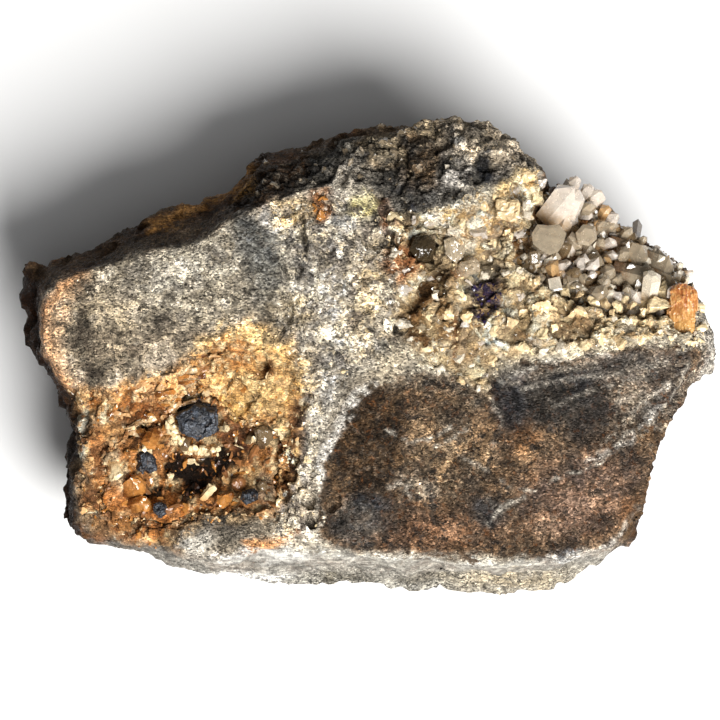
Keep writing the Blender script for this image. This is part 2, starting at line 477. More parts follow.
def refine(mesh, longest):
    """Halves edges, pass by pass, until none is longer than longest(middle of the edge)."""
    for _ in range(MOST_PASSES):
        long_edges = []
        for edge in mesh.edges:
            a, b = edge.verts[0].co, edge.verts[1].co
            if (a - b).length > longest((a + b) * 0.5):
                long_edges.append(edge)
        if not long_edges:
            break
        bmesh.ops.subdivide_edges(mesh, edges=long_edges, cuts=1, use_grid_fill=False)
        bmesh.ops.triangulate(mesh, faces=mesh.faces[:], quad_method="SHORT_EDGE")


def soften(mesh, corners):
    """Moves each of the corners halfway to the middle of its neighbours."""
    bmesh.ops.smooth_vert(mesh, verts=corners, factor=0.5, use_axis_x=True, use_axis_y=True,
                          use_axis_z=True)


def positions(mesh):
    return np.array([corner.co[:] for corner in mesh.verts])


def move_along_normals(mesh, amounts):
    mesh.normal_update()
    for corner, amount in zip(mesh.verts, amounts.tolist()):
        corner.co += corner.normal * amount


def add_attribute(data, name, values):
    """Stores a value, or a linear colour, for every corner of the mesh."""
    if values.ndim == 1:
        layer = data.attributes.new(name, "FLOAT", "POINT")
        layer.data.foreach_set("value", values)
    else:
        layer = data.color_attributes.new(name, "FLOAT_COLOR", "POINT")
        opaque = np.ones((len(values), 1))
        layer.data.foreach_set("color", np.hstack([values, opaque]).ravel())


def piece_from(name, mesh, finish, stands_for, slot, attributes=None, smooth=True):
    """The finished piece in the row frame, riding on the block and standing for a CAD node."""
    mesh.transform(TO_WORLD)
    data = bpy.data.meshes.new(name)
    mesh.to_mesh(data)
    mesh.free()
    for key, values in (attributes or {}).items():
        add_attribute(data, key, values)
    data.materials.append(finish)
    data.polygons.foreach_set("use_smooth", [smooth] * len(data.polygons))
    piece = bpy.data.objects.new(name, data)
    bpy.context.collection.objects.link(piece)
    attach(piece, "root")
    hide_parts(stands_for)
    return piece


# ---- materials -----------------------------------------------------------------------------------
class Finish:
    """A material's node tree, with short ways to add nodes."""

    def __init__(self, name, **values):
        self.material = bpy.data.materials.new(name)
        self.material.use_nodes = True
        self.tree = self.material.node_tree
        self.shader = self.tree.nodes["Principled BSDF"]
        for key, value in values.items():
            self.shader.inputs[key.replace("_", " ")].default_value = value
        place = self.add("ShaderNodeTexCoord").outputs["Object"]
        self.place = self.vector("SCALE", place, scale=1 / MM)

    def add(self, kind, **settings):
        node = self.tree.nodes.new(kind)
        for key, value in settings.items():
            setattr(node, key, value)
        return node

    def put(self, value, socket):
        """Links a socket's value on, or sets a constant; a colour may leave out its alpha."""
        if isinstance(value, bpy.types.NodeSocket):
            self.tree.links.new(value, socket)
        elif np.size(socket.default_value) == 4 and len(value) == 3:
            socket.default_value = (*value, 1)
        else:
            socket.default_value = value

    def set(self, socket, value):
        self.put(value, self.shader.inputs[socket])

    def vector(self, operation, first, second=None, scale=None):
        node = self.add("ShaderNodeVectorMath", operation=operation)
        self.put(first, node.inputs[0])
        if second is not None:
            self.put(second, node.inputs[1])
        if scale is not None:
            node.inputs["Scale"].default_value = scale
        return node.outputs[0]

    def math(self, operation, first, second):
        node = self.add("ShaderNodeMath", operation=operation)
        self.put(first, node.inputs[0])
        self.put(second, node.inputs[1])
        return node.outputs[0]

    def ramp(self, value, *stops):
        """The value sent through stops of (value, grey or colour)."""
        node = self.add("ShaderNodeValToRGB")
        elements = node.color_ramp.elements
        while len(elements) < len(stops):
            elements.new(0.5)
        for element, (at, colour) in zip(elements, stops):
            element.position = at
            element.color = (*colour, 1) if isinstance(colour, tuple) else (colour, colour, colour, 1)
        self.put(value, node.inputs[0])
        return node.outputs[0]

    def noise(self, size, detail, roughness, place=None, distortion=0.0, output="Fac"):
        """Fractal noise from 0 to 1 with features of about size millimetres."""
        node = self.add("ShaderNodeTexNoise")
        self.put(place or self.place, node.inputs["Vector"])
        for key, value in (("Scale", 1 / size), ("Detail", detail), ("Roughness", roughness),
                           ("Distortion", distortion)):
            node.inputs[key].default_value = value
        return node.outputs[output]

    def grains(self, size, place):
        """Cells of about size millimetres: a random value, the distance to the middle, another value."""
        node = self.add("ShaderNodeTexVoronoi")
        self.put(place, node.inputs["Vector"])
        node.inputs["Scale"].default_value = 1 / size
        split = self.add("ShaderNodeSeparateColor")
        self.put(node.outputs["Color"], split.inputs[0])
        return split.outputs[0], node.outputs["Distance"], split.outputs[1]

    def mix(self, share, first, second, blend_type="MIX"):
        node = self.add("ShaderNodeMix", data_type="RGBA", blend_type=blend_type)
        self.put(share, node.inputs[0])
        self.put(first, node.inputs[6])
        self.put(second, node.inputs[7])
        return node.outputs[2]

    def multiplied(self, colour, *layers):
        """The colour darkened and lightened by layers of (share, factor)."""
        for share, factor in layers:
            colour = self.mix(share, colour, factor, "MULTIPLY")
        return colour

    def attribute(self, name, output="Fac"):
        return self.add("ShaderNodeAttribute", attribute_name=name).outputs[output]

    def warped(self, size, amount):
        """The place, shifted about by noise, so that grains have uneven outlines."""
        shift = self.vector("SUBTRACT", self.noise(size, 2, 0.5, output="Color"), (0.5, 0.5, 0.5))
        return self.vector("ADD", self.place, self.vector("SCALE", shift, scale=amount))

    def combed(self, turn, stretch):
        """The place, stretched along a direction in the plane of x and y."""
        node = self.add("ShaderNodeMapping")
        self.put(self.place, node.inputs["Vector"])
        node.inputs["Rotation"].default_value = (0, 0, math.radians(turn))
        node.inputs["Scale"].default_value = stretch
        return node.outputs[0]

    def relief(self, height, distance, strength):
        """Bumps of the height, distance millimetres high."""
        node = self.add("ShaderNodeBump")
        node.inputs["Strength"].default_value = strength
        node.inputs["Distance"].default_value = distance * MM
        self.put(height, node.inputs["Height"])
        self.set("Normal", node.outputs[0])


def stone(name):
    """Broken greisen: quartz, topaz and mica grains over two hand-painted tints in small patches."""
    finish = Finish(name, Specular_IOR_Level=0.12)
    uneven = finish.warped(0.9, 0.5)
    grain, middle, kind = finish.grains(0.34, finish.vector("MULTIPLY", uneven, (0.85, 1.15, 1.0)))
    coarse, _, coarse_kind = finish.grains(0.85, uneven)

    between = finish.ramp(finish.noise(2.4, 9, 0.72, distortion=0.3), (0.49, 0.0), (0.56, 1.0))
    colour = finish.mix(between, finish.attribute("tint", "Color"), finish.attribute("flecks", "Color"))
    layers = finish.noise(0.9, 6, 0.72, finish.combed(8, (0.14, 1.3, 1.1)))
    layers = finish.ramp(layers, (0.3, 0.4), (0.5, 1.0), (0.7, 1.7))
    colour = finish.mix(finish.attribute("layered"), colour, finish.multiplied(colour, (1.0, layers)))

    pepper = finish.ramp(grain, (0.0, 0.16), (0.14, 0.3), (0.3, 0.7), (0.6, 1.0), (0.82, 1.4), (1.0, 2.1))
    salted = finish.mix(finish.attribute("grit"), (1, 1, 1), pepper)
    coarse_shade = finish.ramp(coarse, (0.0, 0.5), (0.2, 0.82), (0.7, 1.08), (1.0, 1.45))
    cloud = finish.ramp(finish.noise(3.0, 9, 0.72), (0.28, 0.45), (0.5, 1.0), (0.74, 1.55))
    streaks = finish.noise(1.1, 6, 0.7, finish.combed(-28, (0.35, 1.25, 1)))
    streaks = finish.ramp(streaks, (0.3, 0.55), (0.5, 1.0), (0.7, 1.45))
    colour = finish.multiplied(colour, (1.0, salted), (0.8, coarse_shade), (0.85, cloud), (0.55, streaks))

    rusty = finish.ramp(finish.noise(1.3, 7, 0.72, distortion=0.4), (0.55, 0.0), (0.72, 0.85))
    rust = finish.math("MULTIPLY", rusty, finish.attribute("rust"))
    colour = finish.mix(rust, colour, rgb(150, 92, 46))
    sand = finish.math("MULTIPLY", finish.ramp(kind, (0.6, 0.0), (0.9, 1.0)), finish.attribute("sandy"))
    colour = finish.mix(sand, colour, finish.multiplied(colour, (1.0, (1.9, 1.92, 1.94))))
    soot = finish.ramp(finish.noise(0.75, 6, 0.75), (0.32, 0.9), (0.44, 0.0))
    soot = finish.math("MULTIPLY", soot, finish.attribute("dirt"))
    finish.set("Base Color", finish.mix(soot, colour, rgb(34, 28, 23)))

    mica = finish.ramp(kind, (0.0, 0.22), (0.12, 0.3), (0.2, 0.6), (0.7, 0.8), (0.93, 0.66), (1.0, 0.22))
    finish.set("Roughness", mica)
    height = finish.noise(0.5, 6, 0.72)
    for value, weight in ((middle, -0.7), (grain, 0.5), (coarse_kind, 0.7)):
        height = finish.math("ADD", height, finish.math("MULTIPLY", value, weight))
    finish.relief(height, 0.5, 0.95)
    return finish.material


def clear_crystal(name, colour, foot_colour, cloudy, density=0, absorbed=(255, 255, 255), roughness=0.08):
    """A see-through crystal, stained at its foot, with a striated and partly frosted skin."""
    finish = Finish(name, IOR=1.62, Transmission_Weight=1 - cloudy)
    uneven = finish.math("MULTIPLY", finish.noise(0.9, 6, 0.7), 0.7)
    rise = finish.math("ADD", finish.attribute("along"), uneven)
    stained = finish.ramp(rise, (0.45, 0.9), (0.85, 0.0))
    tone = finish.ramp(finish.attribute("tone"), (0, 0.5), (0.6, 0.95), (1, 1.15))
    veils = finish.ramp(finish.noise(1.1, 7, 0.72), (0.3, 0.68), (0.5, 1.0), (0.7, 1.2))
    shade = finish.mix(stained, rgb(*colour), rgb(*foot_colour))
    finish.set("Base Color", finish.multiplied(shade, (1.0, tone), (0.8, veils)))
    finish.set("Roughness", finish.ramp(finish.noise(0.7, 6, 0.7), (0.45, roughness), (0.7, 0.38)))
    skin = finish.math("MULTIPLY", finish.noise(0.35, 4, 0.6), 0.5)
    finish.relief(finish.math("ADD", skin, finish.noise(1.8, 4, 0.6)), 0.07, 0.6)
    if density:
        absorption = finish.add("ShaderNodeVolumeAbsorption")
        absorption.inputs["Color"].default_value = (*rgb(*absorbed), 1)
        absorption.inputs["Density"].default_value = density
        finish.put(absorption.outputs[0], finish.tree.nodes["Material Output"].inputs["Volume"])
    return finish.material


def stained_crystal(name):
    """A translucent crystal with rust and gold drawn out along it."""
    finish = Finish(name, IOR=1.62, Transmission_Weight=0.35)
    drawn = finish.noise(0.8, 6, 0.7, finish.combed(4, (1.7, 0.3, 0.8)), distortion=0.4)
    shade = finish.ramp(drawn, (0.3, rgb(128, 66, 36)), (0.44, rgb(190, 116, 64)),
                        (0.56, rgb(232, 172, 104)), (0.7, rgb(250, 222, 170)))
    golden = finish.ramp(finish.attribute("along"), (0.1, 0.6), (0.6, 0.0))
    finish.set("Base Color", finish.mix(golden, shade, rgb(236, 190, 112)))
    finish.set("Roughness", finish.ramp(drawn, (0.4, 0.14), (0.7, 0.4)))
    finish.relief(drawn, 0.14, 0.7)
    return finish.material


def black_ore(name):
    """Black, sub-metallic crystal faces with striations and a dusting of rust."""
    finish = Finish(name, Metallic=0.25, Specular_IOR_Level=0.7)
    worn = finish.ramp(finish.noise(1.2, 7, 0.72), (0.35, rgb(12, 13, 16)), (0.52, rgb(36, 39, 46)),
                       (0.68, rgb(96, 104, 116)))
    dust = finish.ramp(finish.noise(1.4, 6, 0.72), (0.6, 0.0), (0.72, 0.8))
    finish.set("Base Color", finish.mix(dust, worn, rgb(120, 84, 50)))
    finish.set("Roughness", finish.ramp(finish.noise(0.5, 4, 0.6), (0.3, 0.2), (0.7, 0.6)))
    ribs = finish.noise(0.9, 3, 0.6, finish.vector("MULTIPLY", finish.place, (4.0, 0.8, 0.8)))
    finish.relief(finish.math("ADD", ribs, finish.noise(0.3, 4, 0.6)), 0.16, 0.8)
    return finish.material


# ---- the block -----------------------------------------------------------------------------------
BASE_W = -27.0
GROUND_FINENESS = 3.4, 1.7      # the two sizes of crystal cells in the rock
ROUNDING_PASSES = 4


def above_base(x, y, w):
    """Height over the flat base, millimetres."""
    return w - BASE_W + y * math.tan(FACE_TILT)


def block_edge(middle):
    """The longest edge that the block's mesh has at a place."""
    x, y, w = middle
    if above_base(x, y, w) < 0.3:
        return BASE_EDGE
    return FACE_EDGE if w > 10 else FLANK_EDGE


def zones(place):
    """How much each point belongs to the face and to each kind of ground on it."""
    x, y, w = place.T
    face = smooth_step(w, 8, 13)
    outlines = {"brown": BROWN_FACE, "vein": VEIN, "rust": RUST_ZONE, "knob": KNOB, "centre": CENTRE}
    shares = {name: face * patch_cover(x, y, 4, outline) for name, outline in outlines.items()}
    for name in ("vein", "rust", "knob", "centre"):
        shares[name] = shares[name] * (1 - shares["brown"])
    shares["rust"] = shares["rust"] * (1 - 0.85 * patch_cover(x, y, 3, (-29, -36), (10, 4.4), 4))
    shares["slab"] = face * patch_cover(x, y, 4, SLAB) * (1 - shares["rust"])
    shares["bright"] = face * patch_cover(x, y, 4, BRIGHT)
    shares["ledge"] = face * patch_cover(x, y, 3, LEDGE)
    shares["face"] = face
    return shares


def weighed(zone, base, **weights):
    """The base and a weight for each kind of ground, added up for every point."""
    for name, weight in weights.items():
        base = base + weight * zone[name]
    return base


def block_relief(place, zone, large, small):
    """How far each point of the block stands out or in, millimetres along its normal."""
    x, y, w = place.T
    face = zone["face"]
    lumpy = np.clip(weighed(zone, 0.08, vein=1.0, rust=0.85, knob=0.75, centre=0.5), 0, 1.1) * face
    relief = lumpy * (1.05 * large[0] - 0.7 * large[2] ** 2 + 0.6 * small[0] - 0.3 * small[2] ** 2)
    relief += (0.3 + 0.3 * lumpy) * fractal_noise(place, 5.5, 4)
    relief += (0.2 + 0.12 * zone["brown"]) * fractal_noise(place, 1.5, 3, 7.0)
    relief += (0.1 + 0.12 * zone["brown"]) * facet_noise(place, 1.0, 9.0)
    # the flanks break in steps that follow the layers of the rock
    layered = place * np.array((0.28, 0.5, 1.0)) + (0.14 * (x - y))[:, None] * np.array((0, 0, 1.0))
    steps = 1.2 * facet_noise(layered, 3.0, 5.0) + 0.7 * facet_noise(place, 5.5, 2.0)
    steps += 0.5 * fractal_noise(place, 9, 3, 2.0) + 0.4 * facet_noise(place, 1.9, 8.0)
    relief += (1 - face) * steps
    near_x = x + 0.3 * fractal_noise(place, 1.2, 2, 3.0)
    for points, width, height in FACE_RELIEF.values():
        relief += height * face * (1 - smooth_step(distance_to_line(near_x, y, points), 0, width))
    return relief * smooth_step(above_base(x, y, w), 0.3, 2.5)


def ragged(place, seed, amount):
    """Each point's x and y shifted by noise, so that patches get ragged edges."""
    x, y, _ = place.T
    shift_x = 2.2 * fractal_noise(place, 7, 4, seed) + 0.8 * fractal_noise(place, 2.0, 3, seed + 4)
    shift_y = 2.2 * fractal_noise(place, 7, 4, seed + 1) + 0.8 * fractal_noise(place, 2.0, 3, seed + 6)
    return x + amount * shift_x, y + amount * shift_y


def on_face(place):
    """How much each point has the colours of the face, not of the flanks; both raised rims have them."""
    x, y, w = place.T
    raised = 5 * patch_cover(x, y, 3, KNOB) + 6 * smooth_step(x, 60, 66)
    share = smooth_step(w + raised + 1.2 * fractal_noise(place, 4, 3, 13.0), 11, 15.5)
    under_ledge = smooth_step(-(y + w * 0.3), 40, 44)
    return np.maximum(share, under_ledge)


def flank_tint(place):
    """Dark brown broken rock with rust, turning into the ledge's grey at the foot."""
    mottle = patchy(place, 11, 4, 9.0, -0.25, 0.35)[:, None]
    stain = patchy(place, 8, 5, 11.0, 0.15, 0.5)[:, None] * 0.55
    lower = smooth_step(-place[:, 1], 36, 42)[:, None] * 0.75
    tint = blend(rgb(92, 72, 52), rgb(*DARK_BROWN), mottle)
    return blend(blend(tint, rgb(132, 86, 48), stain), rgb(*LEDGE_GREY), lower)


def block_tints(place, zone, cells):
    """The hand-painted colours of every point, and those of the small patches in between."""
    face = on_face(place)[:, None]
    flank = flank_tint(place)
    line_spots = ragged(place, 3.0, 0.35)
    line_gaps = patchy(place, 1.6, 3, 15.0, -0.5, 0.2)
    tints = []
    for seed, amount, (_, shade, _), in_between in ((1.0, 0.55, cells[0], False),
                                                    (31.0, 1.0, cells[1], True)):
        spots = ragged(place, seed, amount)
        tint = np.tile(rgb(*GREISEN), (len(place), 1))
        paint(tint, *spots, FACE_PAINT)
        if in_between:
            paint(tint, *spots, FACE_FLECKS)
            paint(tint, *spots, SOLID_PATCHES, 0.6)
        drift = patchy(place, 5.5, 6, seed + 3, -0.55, 0.55)
        for values, palettes in ((shade, CELL_COLOURS), (drift, DRIFT_COLOURS)):
            for name, (strength, colours) in palettes.items():
                calm = 1 - 0.6 * zone["bright"] if name == "rust" else 1
                tint = vary(tint, values, colours, strength * zone[name] * calm)
        paint(tint, *line_spots, FACE_STROKES, line_gaps)
        side = flank.copy()
        paint(side, *spots, FLANK_PAINT)
        tints.append(blend(side, tint, face))
    return tints


def block_looks(place, zone, gap, relief):
    """The shares of grit, rust, dirt, layers and sand for stone(), and a shade for its two tints."""
    x, y, _ = place.T
    flank = 1 - on_face(place)
    rusty, knob, brown, vein = (zone[name] for name in ("rust", "knob", "brown", "vein"))
    gaps = gap ** 2 * weighed(zone, 0, vein=0.5, rust=0.7, knob=0.55, centre=0.5)
    grit = weighed(zone, 1.0, vein=-0.6, brown=-0.1, rust=-0.4, ledge=-0.65) - 0.4 * flank
    charcoal = [patch for name, patch in FACE_PAINT.items() if name.startswith("charcoal")]
    cool = np.max([patch_cover(x, y, softness, *shape) for _, _, softness, *shape in charcoal], axis=0)
    rust = 0.2 * flank + (0.36 - 0.3 * zone["bright"]) * rusty + 0.2 * vein + 0.4 * brown + 0.05
    dirt = 0.2 * rusty * (1 - zone["bright"]) + 0.3 * knob + 0.5 * brown + 0.12 * (1 - vein)
    worn = np.clip(1 + 0.22 * zone["face"] * relief, 0.6, 1.3)
    shade = worn * (1 - 0.3 * np.clip(gaps, 0, 1))
    return shade[:, None], {
        "grit": np.clip(grit, 0, 1),
        "rust": np.clip(rust * (1 - 0.6 * cool), 0, 1),
        "dirt": np.clip(dirt + 0.4 * flank + 0.5 * gaps, 0, 1),
        "layered": np.clip(0.9 * zone["ledge"] + 0.8 * flank, 0, 1),
        "sandy": brown * (1 - 0.3 * cool),
    }


def block():
    """The block of greisen, refined from its solid, with relief and painted ground."""
    mesh = face_mesh("greisen_matrix")
    refine(mesh, block_edge)
    for _ in range(ROUNDING_PASSES):
        soften(mesh, [corner for corner in mesh.verts if above_base(*corner.co) > 1.0])
    place = positions(mesh)
    zone = zones(place)
    cells = [crystal_cells(place, size, seed) for size, seed in zip(GROUND_FINENESS, (1.0, 5.0))]
    relief = block_relief(place, zone, *cells)
    move_along_normals(mesh, relief)
    tint, flecks = block_tints(place, zone, cells)
    shade, looks = block_looks(place, zone, cells[0][2], relief)
    attributes = {"tint": tint * shade, "flecks": flecks * shade, **looks}
    return piece_from("greisen_block", mesh, STONE, "greisen_matrix", "greisen", attributes)


# ---- crystals ------------------------------------------------------------------------------------
CHUNK_CORNERS = 11


def crystal_axis(lean, bearing):
    lean, bearing = math.radians(lean), math.radians(bearing)
    return Vector((math.sin(lean) * math.cos(bearing), math.sin(lean) * math.sin(bearing), math.cos(lean)))


def add_crystal(mesh, foot, lean, bearing, width, breadth, length, turn, tip, sides, seed):
    """Adds a closed prism with a blunt, slightly uneven pyramid on top."""
    rng = random.Random(seed * 7919 + sides)
    along, tone = mesh.verts.layers.float["along"], mesh.verts.layers.float["tone"]
    brightness = rng.uniform(0.35, 1)
    place = Matrix.Translation(Vector(foot))
    place @= crystal_axis(lean, bearing).to_track_quat("Z", "Y").to_matrix().to_4x4()
    place @= Matrix.Rotation(math.radians(turn), 4, "Z")
    shoulder = length - 0.5 * min(width, breadth) * (1 - tip)
    slant = (rng.uniform(-0.3, 0.3), rng.uniform(-0.3, 0.3))
    apex = Vector((rng.uniform(-0.14, 0.14) * width, rng.uniform(-0.14, 0.14) * breadth)) * (1 - tip)
    stretch = [rng.uniform(0.82, 1.14) for _ in range(sides)]
    rings = []
    for height, scale, rise in ((0, 0.84, 0.0), (shoulder, 1.0, 0.75), (length, max(tip, 0.12) * 0.8, 1.0)):
        ring = []
        shift = apex if height == length else Vector((0, 0))
        for side in range(sides):
            angle = math.tau * (side + 0.5) / sides
            x = width / 2 * scale * stretch[side] * math.cos(angle) + shift.x
            y = breadth / 2 * scale * stretch[side] * math.sin(angle) + shift.y
            tilt = (slant[0] * x + slant[1] * y) if height else 0
            corner = mesh.verts.new(place @ Vector((x, y, height + tilt)))
            corner[along], corner[tone] = rise, brightness
            ring.append(corner)
        rings.append(ring)
    mesh.faces.new(list(reversed(rings[0])))
    mesh.faces.new(rings[-1])
    for lower, upper in zip(rings, rings[1:]):
        for side in range(sides):
            after = (side + 1) % sides
            mesh.faces.new((lower[side], lower[after], upper[after], upper[side]))


def add_chunk(mesh, middle, size, flatness, seed):
    """Adds a closed, many-sided crystal fragment of about size millimetres."""
    rng = random.Random(seed * 104729 + 5)
    along, tone = mesh.verts.layers.float["along"], mesh.verts.layers.float["tone"]
    brightness = rng.uniform(0.3, 1)
    turn = Euler([rng.uniform(0, math.tau) for _ in range(3)]).to_matrix()
    stretch = Vector((rng.uniform(0.8, 1.25), rng.uniform(0.6, 1.0), flatness * rng.uniform(0.7, 1.1)))
    stretch = stretch * size / 2
    corners = []
    for _ in range(CHUNK_CORNERS):
        spot = Vector([rng.gauss(0, 1) for _ in range(3)]).normalized()
        corner = mesh.verts.new(Vector(middle) + turn @ Vector([a * b for a, b in zip(spot, stretch)]))
        corner[along], corner[tone] = 0.7 + 0.3 * spot.z, brightness
        corners.append(corner)
    hull = bmesh.ops.convex_hull(mesh, input=corners, use_existing_faces=False)
    unused = hull["geom_interior"] + hull["geom_unused"]
    inner = {item for item in unused if isinstance(item, bmesh.types.BMVert)}
    bmesh.ops.delete(mesh, geom=list(inner), context="VERTS")


def bevel_edges(mesh, width, profile):
    bmesh.ops.bevel(mesh, geom=mesh.edges[:], offset=width, segments=1, profile=profile, affect="EDGES",
                    clamp_overlap=True)


def vary_facets(mesh):
    """Makes each bevelled facet a little lighter or darker, as light inside the crystal does."""
    rng = random.Random(71)
    tone = mesh.verts.layers.float["tone"]
    for face in mesh.faces:
        around = sum(edge.calc_length() for edge in face.edges)
        if face.calc_area() > 0.025 * around ** 2:
            change = rng.uniform(-0.22, 0.22)
            for corner in face.verts:
                corner[tone] += change


def crystal_piece(name, crystals, chunks, finish, stands_for, slot, broken=0.0):
    """One mesh of prisms, as the values of add_crystal, and of fragments, as those of add_chunk.

    Where broken is given, their faces are uneven by that many millimetres.
    """
    mesh = bmesh.new()
    mesh.verts.layers.float.new("along")
    mesh.verts.layers.float.new("tone")
    for seed, values in enumerate(crystals):
        add_crystal(mesh, *values, seed=seed)
    for seed, values in enumerate(chunks):
        add_chunk(mesh, *values, seed=seed)
    if broken:
        bmesh.ops.triangulate(mesh, faces=mesh.faces[:])
        refine(mesh, lambda middle: 0.6)
        place = positions(mesh)
        uneven = facet_noise(place, 1.4, 6.0) + 0.5 * fractal_noise(place, 1.0, 3, 2.0)
        move_along_normals(mesh, broken * uneven)
    else:
        bevel_edges(mesh, 0.05, 0.5)
        vary_facets(mesh)
    return piece_from(name, mesh, finish, stands_for, slot, smooth=False)


# ---- grounds to stand crystals on ----------------------------------------------------------------
GROUND_STEP = 0.5
TUCKED = 0.9            # a lining's sheet runs this far into the wall of its hollow
ABOVE_ALL = 60          # higher than any place on the rock
NO_GROUND = -1e3
TRIES = 60              # drawn for each spot that is wanted


def height_below(tree, x, y, missing):
    """Height of the first surface met from above, or missing where there is none."""
    hit = tree.ray_cast(Vector((x, y, ABOVE_ALL)), Vector((0, 0, -1)))[0]
    return hit.z if hit else missing


def hollow_floor_heights(x, y, depth, outline):
    """Height of the hollow's floor at every point; points in the wall take the floor beside them."""
    block_tree = BVHTree.FromBMesh(face_mesh("greisen_matrix"))
    cx = sum(px for px, _ in outline) / len(outline)
    cy = sum(py for _, py in outline) / len(outline)
    heights = np.zeros(len(x))
    for i in np.flatnonzero(depth > -TUCKED - 0.2).tolist():
        away = Vector((x[i] - cx, y[i] - cy))
        pull = away.normalized() * (1.6 if depth[i] < 0.9 else 0)
        heights[i] = height_below(block_tree, x[i] - pull.x, y[i] - pull.y, 0)
    return heights


class Ground:
    """The sheet of a lining: a grid over the hollow with the height of its lumpy top."""

    def __init__(self, outline, thickness, rim_share, lumps):
        low = Vector((min(x for x, _ in outline) - 1.2, min(y for _, y in outline) - 1.2))
        high = Vector((max(x for x, _ in outline) + 1.2, max(y for _, y in outline) + 1.2))
        self.box = low, high
        self.shape = int((high.y - low.y) / GROUND_STEP) + 1, int((high.x - low.x) / GROUND_STEP) + 1
        grid_x, grid_y = np.meshgrid(low.x + np.arange(self.shape[1]) * GROUND_STEP,
                                     low.y + np.arange(self.shape[0]) * GROUND_STEP)
        self.x, self.y = grid_x.ravel(), grid_y.ravel()
        self.depths = depth_in(self.x, self.y, outline)
        floor = hollow_floor_heights(self.x, self.y, self.depths, outline)
        flat = np.column_stack([self.x, self.y, np.zeros(len(self.x))])
        rise = thickness * (rim_share + (1 - rim_share) * smooth_step(self.depths, 0, 3))
        self.top = floor + rise + lumps(flat)

    def cell(self, x, y):
        """The index of the grid's point nearest to a place."""
        low, (rows, columns) = self.box[0], self.shape
        column = min(max(int(round((x - low.x) / GROUND_STEP)), 0), columns - 1)
        row = min(max(int(round((y - low.y) / GROUND_STEP)), 0), rows - 1)
        return row * columns + column

    def height(self, x, y):
        return self.top[self.cell(x, y)]

    def depth(self, x, y):
        """How far inside the hollow's outline a place lies."""
        return self.depths[self.cell(x, y)]

    def mesh(self, skirt):
        """The sheet with its border turned down by skirt millimetres."""
        rows, columns = self.shape
        mesh = bmesh.new()
        corners = {}
        for i in np.flatnonzero(self.depths > -TUCKED).tolist():
            drop = skirt * smooth_step(np.array(-self.depths[i]), 0.2, TUCKED)
            corners[i] = mesh.verts.new((self.x[i], self.y[i], self.top[i] - drop))
        for row in range(rows - 1):
            for column in range(columns - 1):
                i = row * columns + column
                square = (i, i + 1, i + columns + 1, i + columns)
                if all(corner in corners for corner in square):
                    mesh.faces.new([corners[corner] for corner in square])
        loose = [corner for corner in mesh.verts if not corner.link_faces]
        bmesh.ops.delete(mesh, geom=loose, context="VERTS")
        place = positions(mesh)
        move_along_normals(mesh, 0.3 * facet_noise(place, 1.3, 8.0) + 0.1 * fractal_noise(place, 0.7, 2))
        return mesh


class Surface:
    """The finished surface of a piece, to stand crystals on."""

    def __init__(self, piece):
        places = np.zeros(len(piece.data.vertices) * 3)
        piece.data.vertices.foreach_get("co", places)
        ones = np.ones((len(places) // 3, 1))
        places = np.hstack([places.reshape(-1, 3), ones]) @ np.array(TO_FACE).T
        faces = [face.vertices[:] for face in piece.data.polygons]
        self.tree = BVHTree.FromPolygons(places[:, :3].tolist(), faces)

    def height(self, x, y):
        return height_below(self.tree, x, y, NO_GROUND)


def free_spots(rng, ground, box, count, draw_width, allowed, steep, taken, apart):
    """Up to count spots that stand clear of each other: x, y, width, height and the slope down."""
    (low_x, low_y), (high_x, high_y) = box
    feet = list(taken)
    wanted = len(feet) + count
    for _ in range(count * TRIES):
        x, y = rng.uniform(low_x, high_x), rng.uniform(low_y, high_y)
        width = draw_width()
        if rng.random() > allowed(x, y):
            continue
        if any(math.hypot(x - fx, y - fy) < (r + width / 2) * apart for fx, fy, r in feet):
            continue
        here = ground.height(x, y)
        down = here - ground.height(x + 1, y), here - ground.height(x, y + 1)
        if here == NO_GROUND or steep(*down):
            continue
        yield x, y, width, here, down
        feet.append((x, y, width * 0.42))
        if len(feet) == wanted:
            break


def scatter(ground, count, seed, size, allowed, spread, sink, apart, taken, lengths=(0.7, 1.5)):
    """Crystals standing all over a hollow's ground, each as the values that add_crystal takes."""
    rng = random.Random(seed)

    def draw_width():
        return rng.uniform(*size) * rng.uniform(0.7, 1)

    def steep(*down):
        return Vector(down).length > 6

    spots = free_spots(rng, ground, ground.box, count, draw_width, allowed, steep, taken, apart)
    placed = []
    for x, y, width, here, down in spots:
        down = Vector(down)
        lean = min(math.degrees(math.atan(down.length)), 50) + rng.gauss(0, spread / 1.6)
        bearing = math.degrees(math.atan2(down.y, down.x)) + rng.gauss(0, 40)
        length = width * rng.uniform(*lengths) + width * sink
        placed.append(((x, y, here - width * sink), lean, bearing, width, width * rng.uniform(0.6, 1),
                       length, rng.uniform(0, 60), rng.choice((0.12, 0.2, 0.4)), rng.choice((4, 5, 6))))
    return placed


def scatter_chunks(ground, box, count, seed, size, allowed, flatness=0.8, sink=0.2, taken=(), apart=0.9):
    """Crystal fragments set into a ground, each as the values that add_chunk takes."""
    rng = random.Random(seed)
    small, large = size
    spots = free_spots(rng, ground, box, count, lambda: small + (large - small) * rng.random() ** 2,
                       allowed, lambda dx, dy: abs(dx) + abs(dy) > 5, taken, apart)
    return [((x, y, here - width * sink), width, flatness) for x, y, width, here, _ in spots]


def standing(ground, crystals):
    """Crystals whose foot is given as a depth below the ground, as the values of add_crystal."""
    return [((x, y, ground.height(x, y) - depth), *rest) for (x, y, depth), *rest in crystals]


def feet_of(crystals, share=0.36):
    """The room that crystals take on the ground: x, y and radius, as a share of their width."""
    return [(foot[0], foot[1], share * width) for foot, _, _, width, *_ in crystals]


